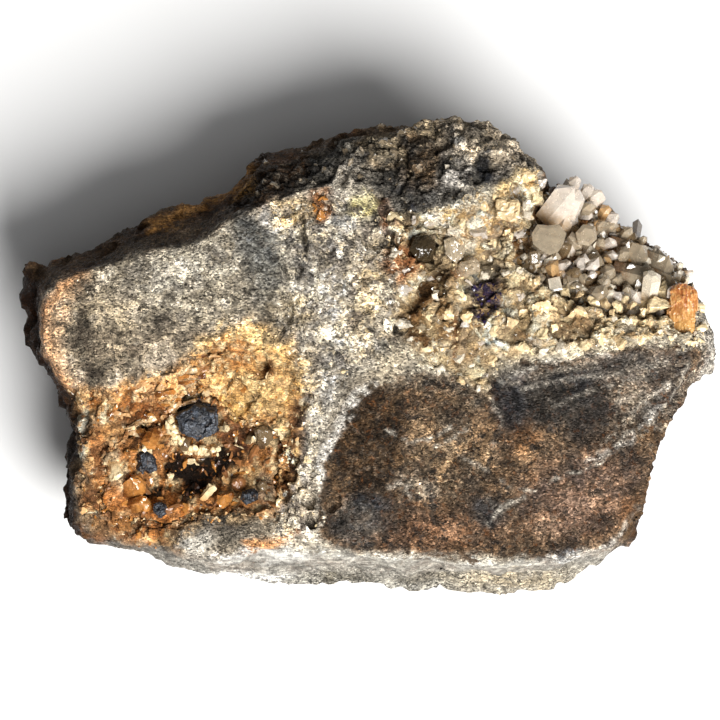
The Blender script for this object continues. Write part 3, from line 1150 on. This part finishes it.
# ---- the vug's lining ----------------------------------------------------------------------------
# foot (x, y, depth below the ground), lean from the face's normal and its bearing in degrees (0 is
# right, 90 is up), width, breadth, length, turn about the axis, flat tip's share, sides
PALE_TOPAZ = {
    "pale_upper": ((35.8, 27.4, 1.0), 58, 50, 6.2, 5.2, 9.4, 10, 0.12, 6),
    "pale_lower": ((39.4, 24.6, 1.0), 60, 72, 4.6, 4.0, 10.4, 40, 0.12, 6),
    "upper_tip": ((41.2, 32.2, 1.2), 40, 78, 3.2, 2.8, 5.6, 0, 0.3, 6),
    "upper_tip_two": ((43.4, 31.4, 1.2), 36, 60, 3.4, 3.0, 5.4, 20, 0.4, 6),
    "outer_tip": ((45.2, 29.4, 1.2), 48, 66, 3.2, 2.8, 5.4, 25, 0.3, 6),
    "far_tip": ((48.4, 25.4, 1.2), 46, 60, 2.8, 2.4, 5.2, 0, 0.16, 6),
}
GREY_TOPAZ = {
    "grey_round": ((35.0, 22.2, 1.4), 12, 40, 6.8, 6.6, 7.0, 15, 0.98, 10),
    "hexagonal": ((42.6, 23.0, 1.5), 12, 40, 4.8, 4.8, 7.6, 5, 0.8, 6),
    "blue_grey": ((43.6, 27.4, 1.5), 38, 75, 3.6, 3.0, 5.6, 20, 0.16, 5),
    "smoky_wedge": ((49.8, 17.2, 0.6), 70, -14, 5.8, 4.8, 9.4, 0, 0.12, 6),
    "long_wedge": ((49.0, 22.6, 0.8), 70, -22, 4.4, 3.4, 8.6, 10, 0.16, 6),
    "last_tip": ((51.2, 23.0, 1.2), 42, 55, 2.6, 2.4, 5.0, 35, 0.16, 6),
    "beside_hexagon": ((47.6, 24.4, 1.2), 30, 100, 3.0, 2.6, 5.6, 15, 0.2, 6),
    "flat_right": ((54.6, 20.0, 0.8), 66, -24, 5.2, 3.6, 8.6, 0, 0.2, 5),
    "flat_right_two": ((57.6, 16.4, 0.8), 60, -30, 5.0, 3.8, 6.6, 30, 0.2, 5),
}
DARK_TOPAZ = {
    "dark_slab": ((31.4, 21.6, 1.4), 30, -50, 3.6, 2.4, 5.8, 55, 0.85, 4),
    "dark_small": ((39.0, 19.8, 1.2), 30, 70, 2.6, 2.2, 5.0, 10, 0.5, 6),
    "dark_low": ((40.6, 15.6, 1.2), 20, 40, 2.6, 2.4, 4.6, 10, 0.6, 6),
}
HONEY_TOPAZ = {
    "honey": ((37.8, 15.6, 1.3), 28, 110, 3.4, 2.8, 6.4, 30, 0.3, 5),
    "honey_strip": ((41.4, 5.6, 0.9), 20, 90, 1.6, 1.4, 2.6, 0, 0.6, 6),
    "rusty_tip": ((46.8, 27.2, 1.2), 40, 60, 2.8, 2.6, 4.8, 0, 0.4, 6),
    "rusty_tip_low": ((46.4, 24.6, 1.2), 34, 90, 2.2, 2.0, 4.4, 0, 0.3, 6),
}
WHITE_TOPAZ = {
    "white_block": ((36.2, 14.2, 1.4), 12, 0, 3.6, 3.4, 5.8, 10, 0.9, 4),
    "white_upper": ((35.8, 17.2, 1.2), 24, 70, 2.6, 2.4, 4.8, 40, 0.7, 4),
    "white_low": ((47.6, 10.6, 1.0), 40, 60, 2.6, 2.2, 4.0, 40, 0.5, 5),
    "beige_column": ((56.2, 9.8, 1.0), 50, 84, 4.8, 4.2, 8.6, 0, 0.6, 6),
}
VUG_PAINT = {
    "lip": ((206, 184, 146), 0.85, 4, [(33, 19), (36, 14.5), (44, 10.6), (52, 9.4), (62, 9.4)], 5),
    "rusty_high": ((104, 62, 34), 0.85, 2, [(36, 35), (40, 34), (44, 30.5)], 3.5),
    "rusty_mid": ((150, 98, 54), 0.7, 2, (46, 28.5), (2.5, 2), 0),
    "dark_under_wedge": ((86, 56, 36), 0.85, 2, (53, 12.8), (4, 1.8), 0),
    "dark_mid": ((84, 68, 52), 0.7, 2, (44, 19), (5, 3), 0),
    "orange_right": ((196, 140, 86), 0.7, 1.5, [(58, 12), (60, 15), (64, 16)], 1.6),
}


def lining(name, mesh, mixed, patches, spots, stands_for, slot, flecks, **looks):
    """The stone sheet under a lining's crystals: two mixed colours, with patches painted over them."""
    base, over, share = mixed
    tint = blend(np.tile(rgb(*base), (len(share), 1)), rgb(*over), share[:, None])
    paint(tint, *spots, patches)
    attributes = {look: np.full(len(share), amount) for look, amount in looks.items()}
    attributes |= {"tint": tint, "flecks": flecks * tint}
    piece_from(name, mesh, STONE, stands_for, slot, attributes)


def druse():
    """The vug's lining: its sheet, the large crystals that the photograph shows, and small ones."""
    ground = Ground(VUG_OUTLINE, VUG_CRUST, 0.85, lambda flat: 1.1 * fractal_noise(flat, 6, 4, 3.0))
    mesh = ground.mesh(3.0)
    place = positions(mesh)
    mixed = (96, 68, 44), (190, 156, 112), patchy(place, 3.5, 4, 21.0, -0.1, 0.45)
    lining("vug_ground", mesh, mixed, VUG_PAINT, place.T[:2], "topaz_druse", "topaz",
           flecks=0.6, grit=0.7, rust=0.5, dirt=0.7)

    def in_vug(x, y):
        return ground.depth(x, y) > 0.1

    def near_rim(x, y):
        return 0.1 < ground.depth(x, y) < 2.5 and y < 22

    groups = PALE_TOPAZ, GREY_TOPAZ, DARK_TOPAZ, HONEY_TOPAZ, WHITE_TOPAZ
    pale, grey, dark, honey, white = named = [standing(ground, group.values()) for group in groups]
    taken = [foot for group in named for foot in feet_of(group)]
    large = scatter(ground, 90, 31, (2.8, 5.0), in_vug, 46, 0.5, 0.72, taken, lengths=(0.9, 1.5))
    middle = scatter(ground, 170, 32, (1.6, 2.8), in_vug, 60, 0.3, 0.6, taken)
    shards = scatter_chunks(ground, ground.box, 260, 35, (1.0, 3.6), in_vug, 0.6, -0.1, taken, 0.55)
    rim = scatter_chunks(ground, ground.box, 90, 34, (1.4, 3.4), near_rim)
    pieces = {
        "topaz_clear": (pale + large[0::4] + middle[0::4], shards[0::6], CLEAR),
        "topaz_grey": (grey + large[1::4] + large[2::4] + middle[1::4], shards[1::6] + shards[2::6],
                       GREY_CLEAR),
        "topaz_smoky": (dark + large[3::4] + middle[2::8], shards[3::12], SMOKY),
        "topaz_honey": (honey + middle[6::8], rim[0::3] + shards[4::12], HONEY),
        "topaz_milky": (white + middle[3::4], rim[1::3] + rim[2::3] + shards[5::6], MILKY),
    }
    for name, (crystals, chunks, finish) in pieces.items():
        crystal_piece(name, crystals, chunks, finish, "topaz_druse", "topaz")


# ---- the pocket's lining -------------------------------------------------------------------------
POCKET_PAINT = {
    "honey_left": ((186, 130, 70), 0.9, 2, (-42, -15), (3, 4), 0),
    "cream_left": ((220, 190, 150), 0.9, 2, [(-51.5, -19), (-51, -24), (-49.5, -27)], 3.4),
    "deep": ((14, 8, 5), 0.99, 1.6,
             [(-41, -21), (-37, -19.4), (-33, -21), (-30, -19.4), (-26, -17), (-23.4, -19), (-27, -22),
              (-28.6, -25), (-31.6, -26), (-35, -30.4), (-39, -30.6), (-37.6, -26), (-42, -24.4)]),
    "deep_upper": ((40, 22, 12), 0.95, 1.4, [(-46, -17.4), (-43, -18.4), (-40, -17.8)], 1.6),
    "deep_beside_black": ((52, 30, 16), 0.95, 1.4, (-38.6, -10.6), (1.8, 2.6), 0),
    "deep_left": ((26, 15, 8), 0.97, 1.4, (-43.4, -28.2), (2.8, 2.0), 0),
    "brown_right": ((104, 66, 44), 0.9, 2.5, (-26, -16), (4, 3), 0),
    "orange_low": ((196, 120, 54), 0.85, 2.5, [(-51, -28), (-46, -31.4), (-38, -31)], 4),
    "cream_right": ((208, 172, 122), 0.85, 2, (-24.5, -25), (4, 3), 30),
    "grey_side": ((140, 124, 104), 0.8, 2, (-20.6, -27), (2.5, 3), 0),
}
AMBER_CRYSTALS = {
    "orange_left": ((-48.6, -27.4, 1.2), 46, 30, 5.0, 3.8, 5.8, 15, 0.4, 5),
    "orange_under": ((-47.6, -30.4, 1.0), 60, 10, 3.6, 3.0, 5.0, 40, 0.3, 5),
    "honey_upper": ((-42.4, -15.2, 0.8), 50, 250, 3.6, 2.6, 4.6, 0, 0.5, 5),
    "orange_right": ((-27.2, -28.4, 0.8), 50, 200, 3.0, 2.4, 3.6, 20, 0.5, 5),
}
CREAM_CRYSTALS = {
    "cream_long": ((-28.8, -25.2, 0.6), 64, 44, 2.4, 2.0, 5.6, 0, 0.3, 5),
    "cream_low": ((-33.2, -29.0, 0.6), 60, 50, 2.0, 1.8, 4.4, 20, 0.3, 5),
    "cream_side": ((-51.2, -21.0, 0.8), 60, -70, 3.4, 1.8, 4.6, 20, 0.5, 5),
    "white_small": ((-40.0, -25.0, 0.6), 20, 60, 1.9, 1.7, 3.2, 45, 0.5, 6),
    "white_beside_black": ((-29.8, -14.8, 0.4), 40, 0, 1.8, 1.4, 3.0, 0, 0.6, 5),
    "white_right": ((-24.2, -17.6, 0.6), 50, 30, 1.6, 1.2, 2.8, 0, 0.5, 4),
}
BROWN_CRYSTALS = {
    "smoky_right": ((-26.0, -26.6, 0.8), 20, 80, 3.2, 3.0, 4.2, 0, 0.6, 6),
    "brown_deep": ((-24.0, -21.4, 0.8), 60, 60, 1.8, 1.6, 4.6, 0, 0.4, 6),
}
GREY_CRYSTALS = {
    "smoky_high": ((-21.6, -16.8, 0.6), 24, 40, 4.2, 3.4, 4.4, 0, 0.6, 6),
    "dark_blade": ((-21.0, -18.6, 0.0), 62, 104, 2.2, 1.8, 5.0, 0, 0.3, 5),
    "dark_beside": ((-23.4, -15.6, 0.4), 40, 250, 1.8, 1.6, 3.4, 20, 0.3, 5),
    "glassy_under_black": ((-36.2, -16.4, 0.6), 40, 250, 3.0, 2.6, 4.0, 0, 0.5, 6),
    "blue_grey_low": ((-21.4, -26.8, 0.4), 20, 60, 2.4, 2.0, 3.0, 0, 0.6, 6),
}
CREAM_ARC = [
    (-39.4, -12.8), (-38.8, -15.4), (-37.4, -17.4), (-35.2, -18.8), (-32.6, -19.4), (-30.8, -18.4),
]
# the room that the black crystals take: x, y and radius
BLACK_CRYSTAL_FEET = [(-33.4, -12, 3.6), (-45.6, -22.2, 2.4), (-22.8, -28, 1.6), (-41.2, -31.4, 1.6)]
DEEP = (-34, -24.4)      # the middle of the pocket's darkest part


def beads_along(ground, line):
    """Small pale crystals close together along a line, as the values of add_crystal."""
    rng = random.Random(43)
    beads = []
    for (ax, ay), (bx, by) in zip(line, line[1:]):
        for share in (0.0, 0.17, 0.33, 0.5, 0.67, 0.83):
            x = ax + (bx - ax) * share + rng.gauss(0, 0.25)
            y = ay + (by - ay) * share + rng.gauss(0, 0.25)
            beads.append(((x, y, -0.5), rng.uniform(0, 50), rng.uniform(0, 360), 1.6, 1.3,
                          rng.uniform(1.6, 2.4), rng.uniform(0, 60), 0.6, 6))
    return standing(ground, beads)


def pocket():
    """The pocket's lining: its sheet, with crystals and thin plates around the dark middle."""
    ground = Ground(POCKET_OUTLINE, POCKET_CRUST, 0.9, lambda flat: 1.9 * fractal_noise(flat, 5, 4, 5.0))
    mesh = ground.mesh(1.5)
    place = positions(mesh)
    move_along_normals(mesh, 0.45 * facet_noise(place, 2.2, 4.0))
    spots = [place[:, i] + 2.0 * fractal_noise(place, 2.8, 4, seed) for i, seed in enumerate((1.0, 2.0))]
    mixed = (178, 122, 72), (234, 204, 156), patchy(place, 3, 4, 23.0, 0.0, 0.4)
    lining("pocket_ground", mesh, mixed, POCKET_PAINT, spots, "pocket_crust", "iron_stain",
           flecks=0.5, grit=0.5, rust=0.6, dirt=0.9)

    def off_the_deep(x, y):
        if ground.depth(x, y) < 0.1:
            return 0
        return min(1, math.hypot((x - DEEP[0]) / 8, (y - DEEP[1]) / 6)) ** 2

    def in_the_deep(x, y):
        return math.hypot((x - DEEP[0]) / 8.5, (y - DEEP[1]) / 6) < 1

    groups = AMBER_CRYSTALS, CREAM_CRYSTALS, BROWN_CRYSTALS, GREY_CRYSTALS
    amber, cream, brown, grey = named = [standing(ground, group.values()) for group in groups]
    cream += beads_along(ground, CREAM_ARC)
    taken = [foot for group in named for foot in feet_of(group)] + BLACK_CRYSTAL_FEET
    box = ground.box
    plates = scatter_chunks(ground, box, 130, 41, (1.6, 5.4), off_the_deep, 0.36, 0.2, taken, 0.55)
    grains = scatter_chunks(ground, box, 130, 42, (0.7, 1.7), off_the_deep, 0.6, 0.2, taken, 0.5)
    dark = scatter_chunks(ground, box, 44, 44, (0.9, 2.8), in_the_deep, 0.4, 0.2, taken, 0.5)
    pieces = {
        "pocket_amber": (amber, plates[0::3] + grains[0::3] + plates[4::9], AMBER),
        "pocket_cream": (cream, plates[1::9] + grains[1::9], CREAMY),
        "pocket_brown": (brown, plates[2::3] + grains[2::3] + plates[7::9] + grains[4::9] + dark[0::3],
                         RUSTY_CRYSTAL),
        "pocket_deep": ([], dark[1::3] + dark[2::3], DEEP_BROWN),
    }
    for name, (crystals, chunks, finish) in pieces.items():
        crystal_piece(name, crystals, chunks, finish, "pocket_crust", "iron_stain", broken=0.22)
    crystal_piece("pocket_grey", grey, [], SMOKY, "pocket_crust", "smoky_quartz", broken=0.15)


# ---- crystals on the block -----------------------------------------------------------------------
# the room that the smoky quartz and the stained topaz take: x, y and radius
LONE_CRYSTAL_FEET = [(11.2, 20.4, 3.2), (62.8, 9.0, 4.4)]
GLASSY_ON_BLOCK = {
    "pale_brown": ((16.6, 20.8, 1.4), 12, 20, 6.0, 4.6, 4.0, 10, 0.8, 6),
    "grey_wedge": ((16.6, 16.0, 1.0), 66, 24, 3.4, 2.6, 6.4, 0, 0.4, 5),
    "small_clear": ((10.4, 16.4, 0.8), 20, 0, 1.8, 1.6, 2.2, 0, 0.6, 6),
}
TAN_ON_BLOCK = {
    "tan_block": ((27.2, 28.6, 2.0), 6, 40, 6.4, 5.6, 4.4, 43, 0.9, 4),
    "tan_left": ((22.6, 29.6, 1.0), 10, 0, 3.2, 2.8, 2.6, 20, 0.8, 4),
    "tan_top": ((31.6, 34.8, 1.4), 20, 80, 3.6, 3.0, 3.4, 10, 0.8, 5),
    "ochre_lobe": ((16.2, 9.4, 1.2), 30, 260, 3.4, 2.6, 3.8, 0, 0.7, 6),
    "ochre_lobe_two": ((19.6, 8.6, 1.2), 24, 280, 2.8, 2.4, 3.4, 10, 0.7, 6),
    "yellow_block": ((35.0, 9.2, 1.6), 8, 270, 5.0, 4.8, 3.8, 40, 0.85, 5),
}
WHITE_ON_BLOCK = {
    "white_rectangle": ((31.6, 28.6, 1.0), 8, 90, 2.2, 4.6, 3.0, 0, 0.95, 4),
    "white_lump": ((15.8, 24.0, 1.0), 16, 90, 3.4, 2.4, 2.6, 10, 0.8, 5),
    "white_wedge": ((9.0, 20.0, 0.8), 30, 0, 3.2, 1.8, 2.4, 30, 0.6, 4),
    "knob_white": ((17.4, 44.0, 0.7), 10, 0, 1.6, 1.4, 1.6, 0, 0.7, 4),
    "knob_white_low": ((15.6, 37.4, 0.7), 10, 0, 1.6, 1.8, 1.6, 0, 0.7, 4),
    "centre_white": ((5.8, 23.0, 0.8), 20, 0, 1.8, 1.6, 1.8, 0, 0.7, 4),
}
# single fragments: middle (x, y, depth below the ground), size, flatness
BROWN_MASSES = [
    (2.9, 42.2, 1.4, 6.4, 0.7), (5.6, 40.0, 1.2, 5.0, 0.7), (0.6, 39.6, 1.2, 4.6, 0.7),
    (11.4, 45.2, 1.2, 6.0, 0.6), (14.6, 46.0, 1.0, 4.0, 0.6), (7.6, 44.4, 1.0, 3.6, 0.7),
]
AMBER_MASSES = [(-9.2, 30.6, 0.8, 4.6, 0.8), (-9.0, 27.6, 0.8, 4.2, 0.8), (-10.6, 29.0, 0.6, 3.2, 0.8)]
# fragments between the vug and the stained crystal: middle (x, y, w), size, flatness
RIGHT_MASSES = [
    ((58.2, 9.6, 14.2), 5.4, 0.9), ((59.2, 13.0, 10.6), 4.6, 0.9), ((58.6, 6.4, 17.2), 3.6, 0.8),
    ((61.6, 15.4, 8.2), 3.4, 0.8), ((60.4, 3.4, 17.2), 3.0, 0.7), ((66.6, 5.2, 13.4), 3.4, 0.8),
    ((64.6, 2.6, 15.8), 2.8, 0.7), ((67.2, 9.4, 9.6), 3.2, 0.8), ((55.2, 10.2, 11.4), 3.6, 0.8),
]
# fragments along the foot of the druse, under the lip of the vug
FOOT_MASSES = [
    ((39.6, 12.6, 14.4), 3.4, 0.8), ((42.4, 11.5, 14.6), 3.0, 0.8), ((45.0, 10.5, 14.8), 3.4, 0.8),
    ((47.6, 10.3, 14.4), 2.8, 0.8), ((50.0, 9.5, 14.8), 3.4, 0.8), ((52.6, 9.7, 14.2), 3.0, 0.8),
    ((55.2, 8.7, 14.6), 3.2, 0.8), ((36.6, 14.6, 14.4), 3.0, 0.8), ((41.2, 13.4, 13.8), 2.4, 0.8),
    ((46.2, 12.2, 13.6), 2.6, 0.8), ((51.4, 11.4, 13.4), 2.6, 0.8), ((48.8, 8.6, 16.2), 2.2, 0.8),
]
# the lines along which beads and blades stand
SLAB_RIM = [(-55.6, 14.8), (-60.2, 10), (-61.2, 3), (-60, -3), (-57.4, -8)]
FIBRES = [(-58, -8), (-50, -9.5), (-42, -9), (-34, -5), (-38, -13), (-46, -14)]
# broad thin plates lying one over the other, as the values of add_crystal
PLATES = [
    ((-34.0 + 0.2 * k, -5.6 + 1.4 * k, 0.3), 84, 8 + 3 * k, 2.3, 1.3, 9.4 - 0.6 * k, 0, 0.5, 4)
    for k in range(6)
]


def masses(surface, spots):
    return [((x, y, surface.height(x, y) - depth), size, flatness) for x, y, depth, size, flatness in spots]


def scatter_blades(ground, count, seed, allowed):
    """Narrow blades lying side by side, rising slightly to the right, as the values of add_crystal."""
    rng = random.Random(seed)
    placed = []
    while len(placed) < count:
        x, y = rng.uniform(-61, -30), rng.uniform(-18, -2)
        if rng.random() < allowed(x, y) and ground.height(x, y) != NO_GROUND:
            placed.append(((x, y, ground.height(x, y) - 0.3), rng.uniform(78, 90), rng.gauss(16, 14),
                           rng.uniform(0.7, 1.5), rng.uniform(0.5, 1.0), rng.uniform(2.0, 5.5), 0, 0.4, 4))
    return placed


# how likely a crystal stands at a place of the face
def in_vein(x, y):
    in_pale_vein = inside(x, y, VEIN) and not inside(x, y, VUG_OUTLINE)
    return 0.9 * (in_pale_vein and math.hypot(x - 23.4, y - 11) > 4.8)


def in_centre(x, y):
    return 0.8 * inside(x, y, CENTRE)


def in_knob(x, y):
    return 0.7 * inside(x, y, KNOB)


def in_rust(x, y):
    return 0.9 * (x > -57.5 and inside(x, y, RUST_ZONE) and not inside(x, y, POCKET_OUTLINE))


def beside_stained(x, y):
    return 3.0 < math.hypot(x - 62.8, max(0, y - 12, 5.5 - y)) < 5.0


def along_vug(x, y):
    return distance_to_line(x, y, VUG_OUTLINE[3:9]) < 1.8


def along_pocket(x, y):
    return -1.4 < depth_in(x, y, POCKET_OUTLINE) <= 0


def at_rim(x, y):
    return 0.8 * (distance_to_line(x, y, SLAB_RIM) < 2.0)


def in_fibres(x, y):
    return 0.9 * (distance_to_line(x, y, FIBRES) < 3.2 and not inside(x, y, POCKET_OUTLINE))


def at_fluorite(x, y):
    return math.hypot((x - 23.6) / 3.0, (y - 10.8) / 4.6) < 1


def on_block(surface):
    """The crystals that line the pale vein and stand about on the block."""
    def chunks(low, high, *values, **settings):
        return scatter_chunks(surface, (low, high), *values, **settings)

    groups = GLASSY_ON_BLOCK, TAN_ON_BLOCK, WHITE_ON_BLOCK
    glassy, tan, white = named = [standing(surface, group.values()) for group in groups]
    taken = [foot for group in named for foot in feet_of(group, 0.45)] + LONE_CRYSTAL_FEET
    vein_large = chunks((4, -8), (68, 37), 80, 51, (3.0, 6.4), in_vein, sink=0.12, taken=taken)
    taken += [(*middle[:2], 0.4 * size) for middle, size, _ in vein_large]
    vein_small = chunks((4, -8), (68, 37), 240, 52, (0.9, 2.6), in_vein, taken=taken, apart=0.8)
    centre = chunks((-22, -37), (7, 33), 110, 53, (0.9, 2.4), in_centre, sink=0.3, taken=taken)
    knob = chunks((-27, 27), (36, 50), 110, 54, (1.0, 4.0), in_knob, 0.6, sink=0.3, taken=taken)
    rust = chunks((-61, -41), (-13, 6), 170, 55, (1.0, 3.4), in_rust, 0.5, sink=0.2, taken=taken)
    rim = chunks((56, 1), (70, 15), 90, 57, (0.8, 2.2), beside_stained, sink=0.1, apart=0.6)
    seam = chunks((28, 4), (64, 23), 110, 58, (1.2, 3.4), along_vug, 0.7, sink=0.1, apart=0.6)
    beads = chunks((-66, -9), (-54, 18), 130, 59, (0.8, 1.9), at_rim, 0.7, sink=0.4, apart=0.7)
    edge = chunks((-56, -36), (-14, -6), 120, 61, (0.9, 2.8), along_pocket, 0.6, sink=0.15, apart=0.6)
    fluorite = chunks((20, 6), (27, 16), 60, 56, (0.8, 1.8), at_fluorite, 0.9, apart=0.6)
    plates = standing(surface, PLATES)
    blades = scatter_blades(surface, 80, 60, in_fibres)
    pieces = {
        "vein_glassy": (glassy, vein_small[0::4], GREY_CLEAR, "topaz"),
        "vein_clear": ([], vein_large[0::4], CLEAR, "topaz"),
        "vein_tan": (tan + plates[0::3] + blades[0::6],
                     vein_large[1::4] + vein_small[1::4] + rust[0::8] + seam[2::3] + beads[3::4]
                     + FOOT_MASSES[1::2] + edge[1::8], TAN_CRYSTAL, "topaz"),
        "rust_chips": (plates[2::3] + blades[1::3] + blades[3::6],
                       rust[2::8] + rust[4::8] + rust[6::8] + rust[1::8] + edge[3::4] + edge[5::8],
                       ORANGE_CRYSTAL, "iron_stain"),
        "vein_white": (white, vein_large[2::4] + vein_small[2::4] + centre[0::2] + rim[0::2]
                       + seam[0::3] + beads[0::4], MILKY, "topaz"),
        "vein_cream": ([], vein_large[3::4] + vein_small[3::4] + centre[1::2] + rim[1::2] + seam[1::3]
                       + beads[1::4] + beads[2::4] + RIGHT_MASSES + FOOT_MASSES[0::2] + edge[0::4],
                       CREAMY, "topaz"),
        "rust_plates": (plates[1::3] + blades[2::3],
                        masses(surface, AMBER_MASSES) + rust[3::4] + edge[2::4], AMBER, "iron_stain"),
        "brown_quartz": ([], masses(surface, BROWN_MASSES) + knob, KNOB_QUARTZ, "smoky_quartz"),
        "fluorite_grains": ([], fluorite, FLUORITE_CRYSTAL, "greisen"),
    }
    for name, (crystals, fragments, finish, slot) in pieces.items():
        crystal_piece(name, crystals, fragments, finish, "greisen_matrix", slot, broken=0.4)


# ---- the crystals that are pieces of their own ---------------------------------------------------
BULGE = 1.16            # a worn crystal's width at its middle, as a share of the solid's
NARROWING = 0.3         # how much of that share it loses at its two ends


def narrow_ends(mesh):
    """Draws the crystal in toward both ends of its length."""
    place = positions(mesh)
    low, high = place.min(0), place.max(0)
    middle, half = (high + low) / 2, (high - low) / 2
    shares = BULGE - NARROWING * np.abs((place[:, 1] - middle[1]) / half[1]) ** 2.5
    middle_x = float(middle[0])
    for corner, share in zip(mesh.verts, shares.tolist()):
        corner.co.x = middle_x + (corner.co.x - middle_x) * share


def lone_crystal(node, finish, slot, relief, worn=0, grown=1.0):
    """The node's own crystal with broken edges and uneven faces, rounded by worn passes."""
    mesh = face_mesh(node)
    if grown != 1.0:
        middle = Vector(positions(mesh).mean(0))
        bmesh.ops.scale(mesh, vec=(grown, grown, 1), space=Matrix.Translation(-middle), verts=mesh.verts[:])
    bmesh.ops.dissolve_limit(mesh, angle_limit=0.02, verts=mesh.verts[:], edges=mesh.edges[:])
    bevel_edges(mesh, 0.12, 0.6)
    bmesh.ops.triangulate(mesh, faces=mesh.faces[:])
    refine(mesh, lambda middle: 1.0)
    for _ in range(worn):
        soften(mesh, mesh.verts[:])
    refine(mesh, lambda middle: 0.4)
    if worn:
        narrow_ends(mesh)
    place = positions(mesh)
    uneven = 1.3 * facet_noise(place, 3.2, 2.0) + 0.5 * facet_noise(place, 1.1, 4.0)
    uneven += 0.3 * fractal_noise(place, 0.8, 3)
    move_along_normals(mesh, relief * uneven)
    low, high = place[:, 1].min(), place[:, 1].max()
    attributes = {"along": (place[:, 1] - low) / (high - low), "tone": 0.85 * np.ones(len(place))}
    piece_from(node + "_shape", mesh, finish, node, slot, attributes, smooth=False)


def lone_crystals():
    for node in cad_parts:
        if node.startswith("black_crystal"):
            grown = 1.14 if node.endswith("large") else 1.0
            lone_crystal(node, BLACK, "black_ore", 0.42, grown=grown)
    lone_crystal("smoky_quartz_crystal", DARK_SMOKY, "smoky_quartz", 0.16)
    lone_crystal("stained_topaz_crystal", STAINED, "stained_topaz", 0.3, worn=10)


# ---- stage, lights and camera --------------------------------------------------------------------
CAMERA_DISTANCE = 800.0      # from the face frame's zero plane, millimetres
CAMERA_LENS = 196.25
CAMERA_AIM = (-1.6, -1.0)    # where on the face the camera looks, millimetres
LIT_SPOT = (0, 0, 0.03)      # what both lamps point at, metres
FLOOR_SIZE = 6               # metres
FLOOR_WHITE = (0.86, 0.865, 0.87)


def stage():
    bpy.ops.mesh.primitive_plane_add(size=FLOOR_SIZE, location=(0, 0, 0))
    floor = bpy.context.object
    floor.name = "floor"
    finish = Finish("floor", Roughness=0.55)
    finish.set("Base Color", FLOOR_WHITE)
    floor.data.materials.append(finish.material)


def add_object(name, data):
    thing = bpy.data.objects.new(name, data)
    bpy.context.collection.objects.link(thing)
    return thing


def area_light(name, place, size, watts, colour=(1, 1, 1)):
    data = bpy.data.lights.new(name, "AREA")
    data.shape = "DISK"
    data.size = size
    data.energy = watts
    data.color = colour
    light = add_object(name, data)
    light.location = place
    light.rotation_euler = (Vector(LIT_SPOT) - Vector(place)).to_track_quat("-Z", "Y").to_euler()


def lights():
    world = bpy.data.worlds.new("studio")
    world.use_nodes = True
    background = world.node_tree.nodes["Background"]
    background.inputs["Color"].default_value = (1, 1, 1, 1)
    background.inputs["Strength"].default_value = 0.07
    bpy.context.scene.world = world
    area_light("key", (0.30, -0.50, 0.70), 0.54, 17.3, (1.0, 0.985, 0.96))
    area_light("fill", (0.1, -0.3, 0.9), 0.6, 1.6)


def camera():
    data = bpy.data.cameras.new("camera")
    data.lens = CAMERA_LENS
    data.clip_start = 0.01
    viewer = add_object("camera", data)
    viewer.location = TO_WORLD @ Vector((*CAMERA_AIM, CAMERA_DISTANCE))
    viewer.rotation_euler = (FACE_TILT, 0, 0)
    bpy.context.scene.camera = viewer


# ---- everything, in order ------------------------------------------------------------------------
STONE = stone("greisen")
CLEAR = clear_crystal("topaz_clear", (252, 240, 226), (216, 180, 134), 0.45, 30, (242, 222, 196))
GREY_CLEAR = clear_crystal("topaz_grey", (204, 187, 160), (140, 98, 60), 0.4, 60, (220, 198, 162))
HONEY = clear_crystal("topaz_honey", (214, 174, 122), (150, 92, 46), 0.5, 60, (214, 160, 92))
SMOKY = clear_crystal("topaz_smoky", (140, 118, 88), (92, 66, 42), 0.45, 120, (120, 106, 88))
DARK_SMOKY = clear_crystal("smoky_quartz", (70, 58, 40), (70, 58, 40), 0.5, 260, (110, 90, 64))
AMBER = clear_crystal("iron_amber", (212, 146, 76), (112, 62, 28), 0.55, 80, (226, 130, 40))
MILKY = clear_crystal("topaz_milky", (244, 232, 210), (214, 178, 132), 0.65, roughness=0.2)
CREAMY = clear_crystal("topaz_cream", (238, 216, 172), (212, 164, 106), 0.8, roughness=0.25)
TAN_CRYSTAL = clear_crystal("topaz_tan", (234, 206, 160), (190, 142, 92), 0.8, roughness=0.25)
ORANGE_CRYSTAL = clear_crystal("iron_tan", (228, 182, 126), (174, 120, 74), 0.75, roughness=0.25)
RUSTY_CRYSTAL = clear_crystal("iron_brown", (150, 100, 58), (64, 38, 22), 0.7, roughness=0.3)
DEEP_BROWN = clear_crystal("iron_deep", (58, 32, 18), (24, 14, 9), 0.9, roughness=0.4)
KNOB_QUARTZ = clear_crystal("knob_quartz", (150, 134, 110), (102, 86, 66), 0.65, roughness=0.2)
FLUORITE_CRYSTAL = clear_crystal("fluorite", (56, 44, 84), (28, 24, 34), 0.6, roughness=0.15)
STAINED = stained_crystal("stained_topaz")
BLACK = black_ore("black_ore")
camera()
on_block(Surface(block()))
druse()
pocket()
lone_crystals()
stage()
lights()
bpy.context.scene.view_settings.view_transform = "Standard"
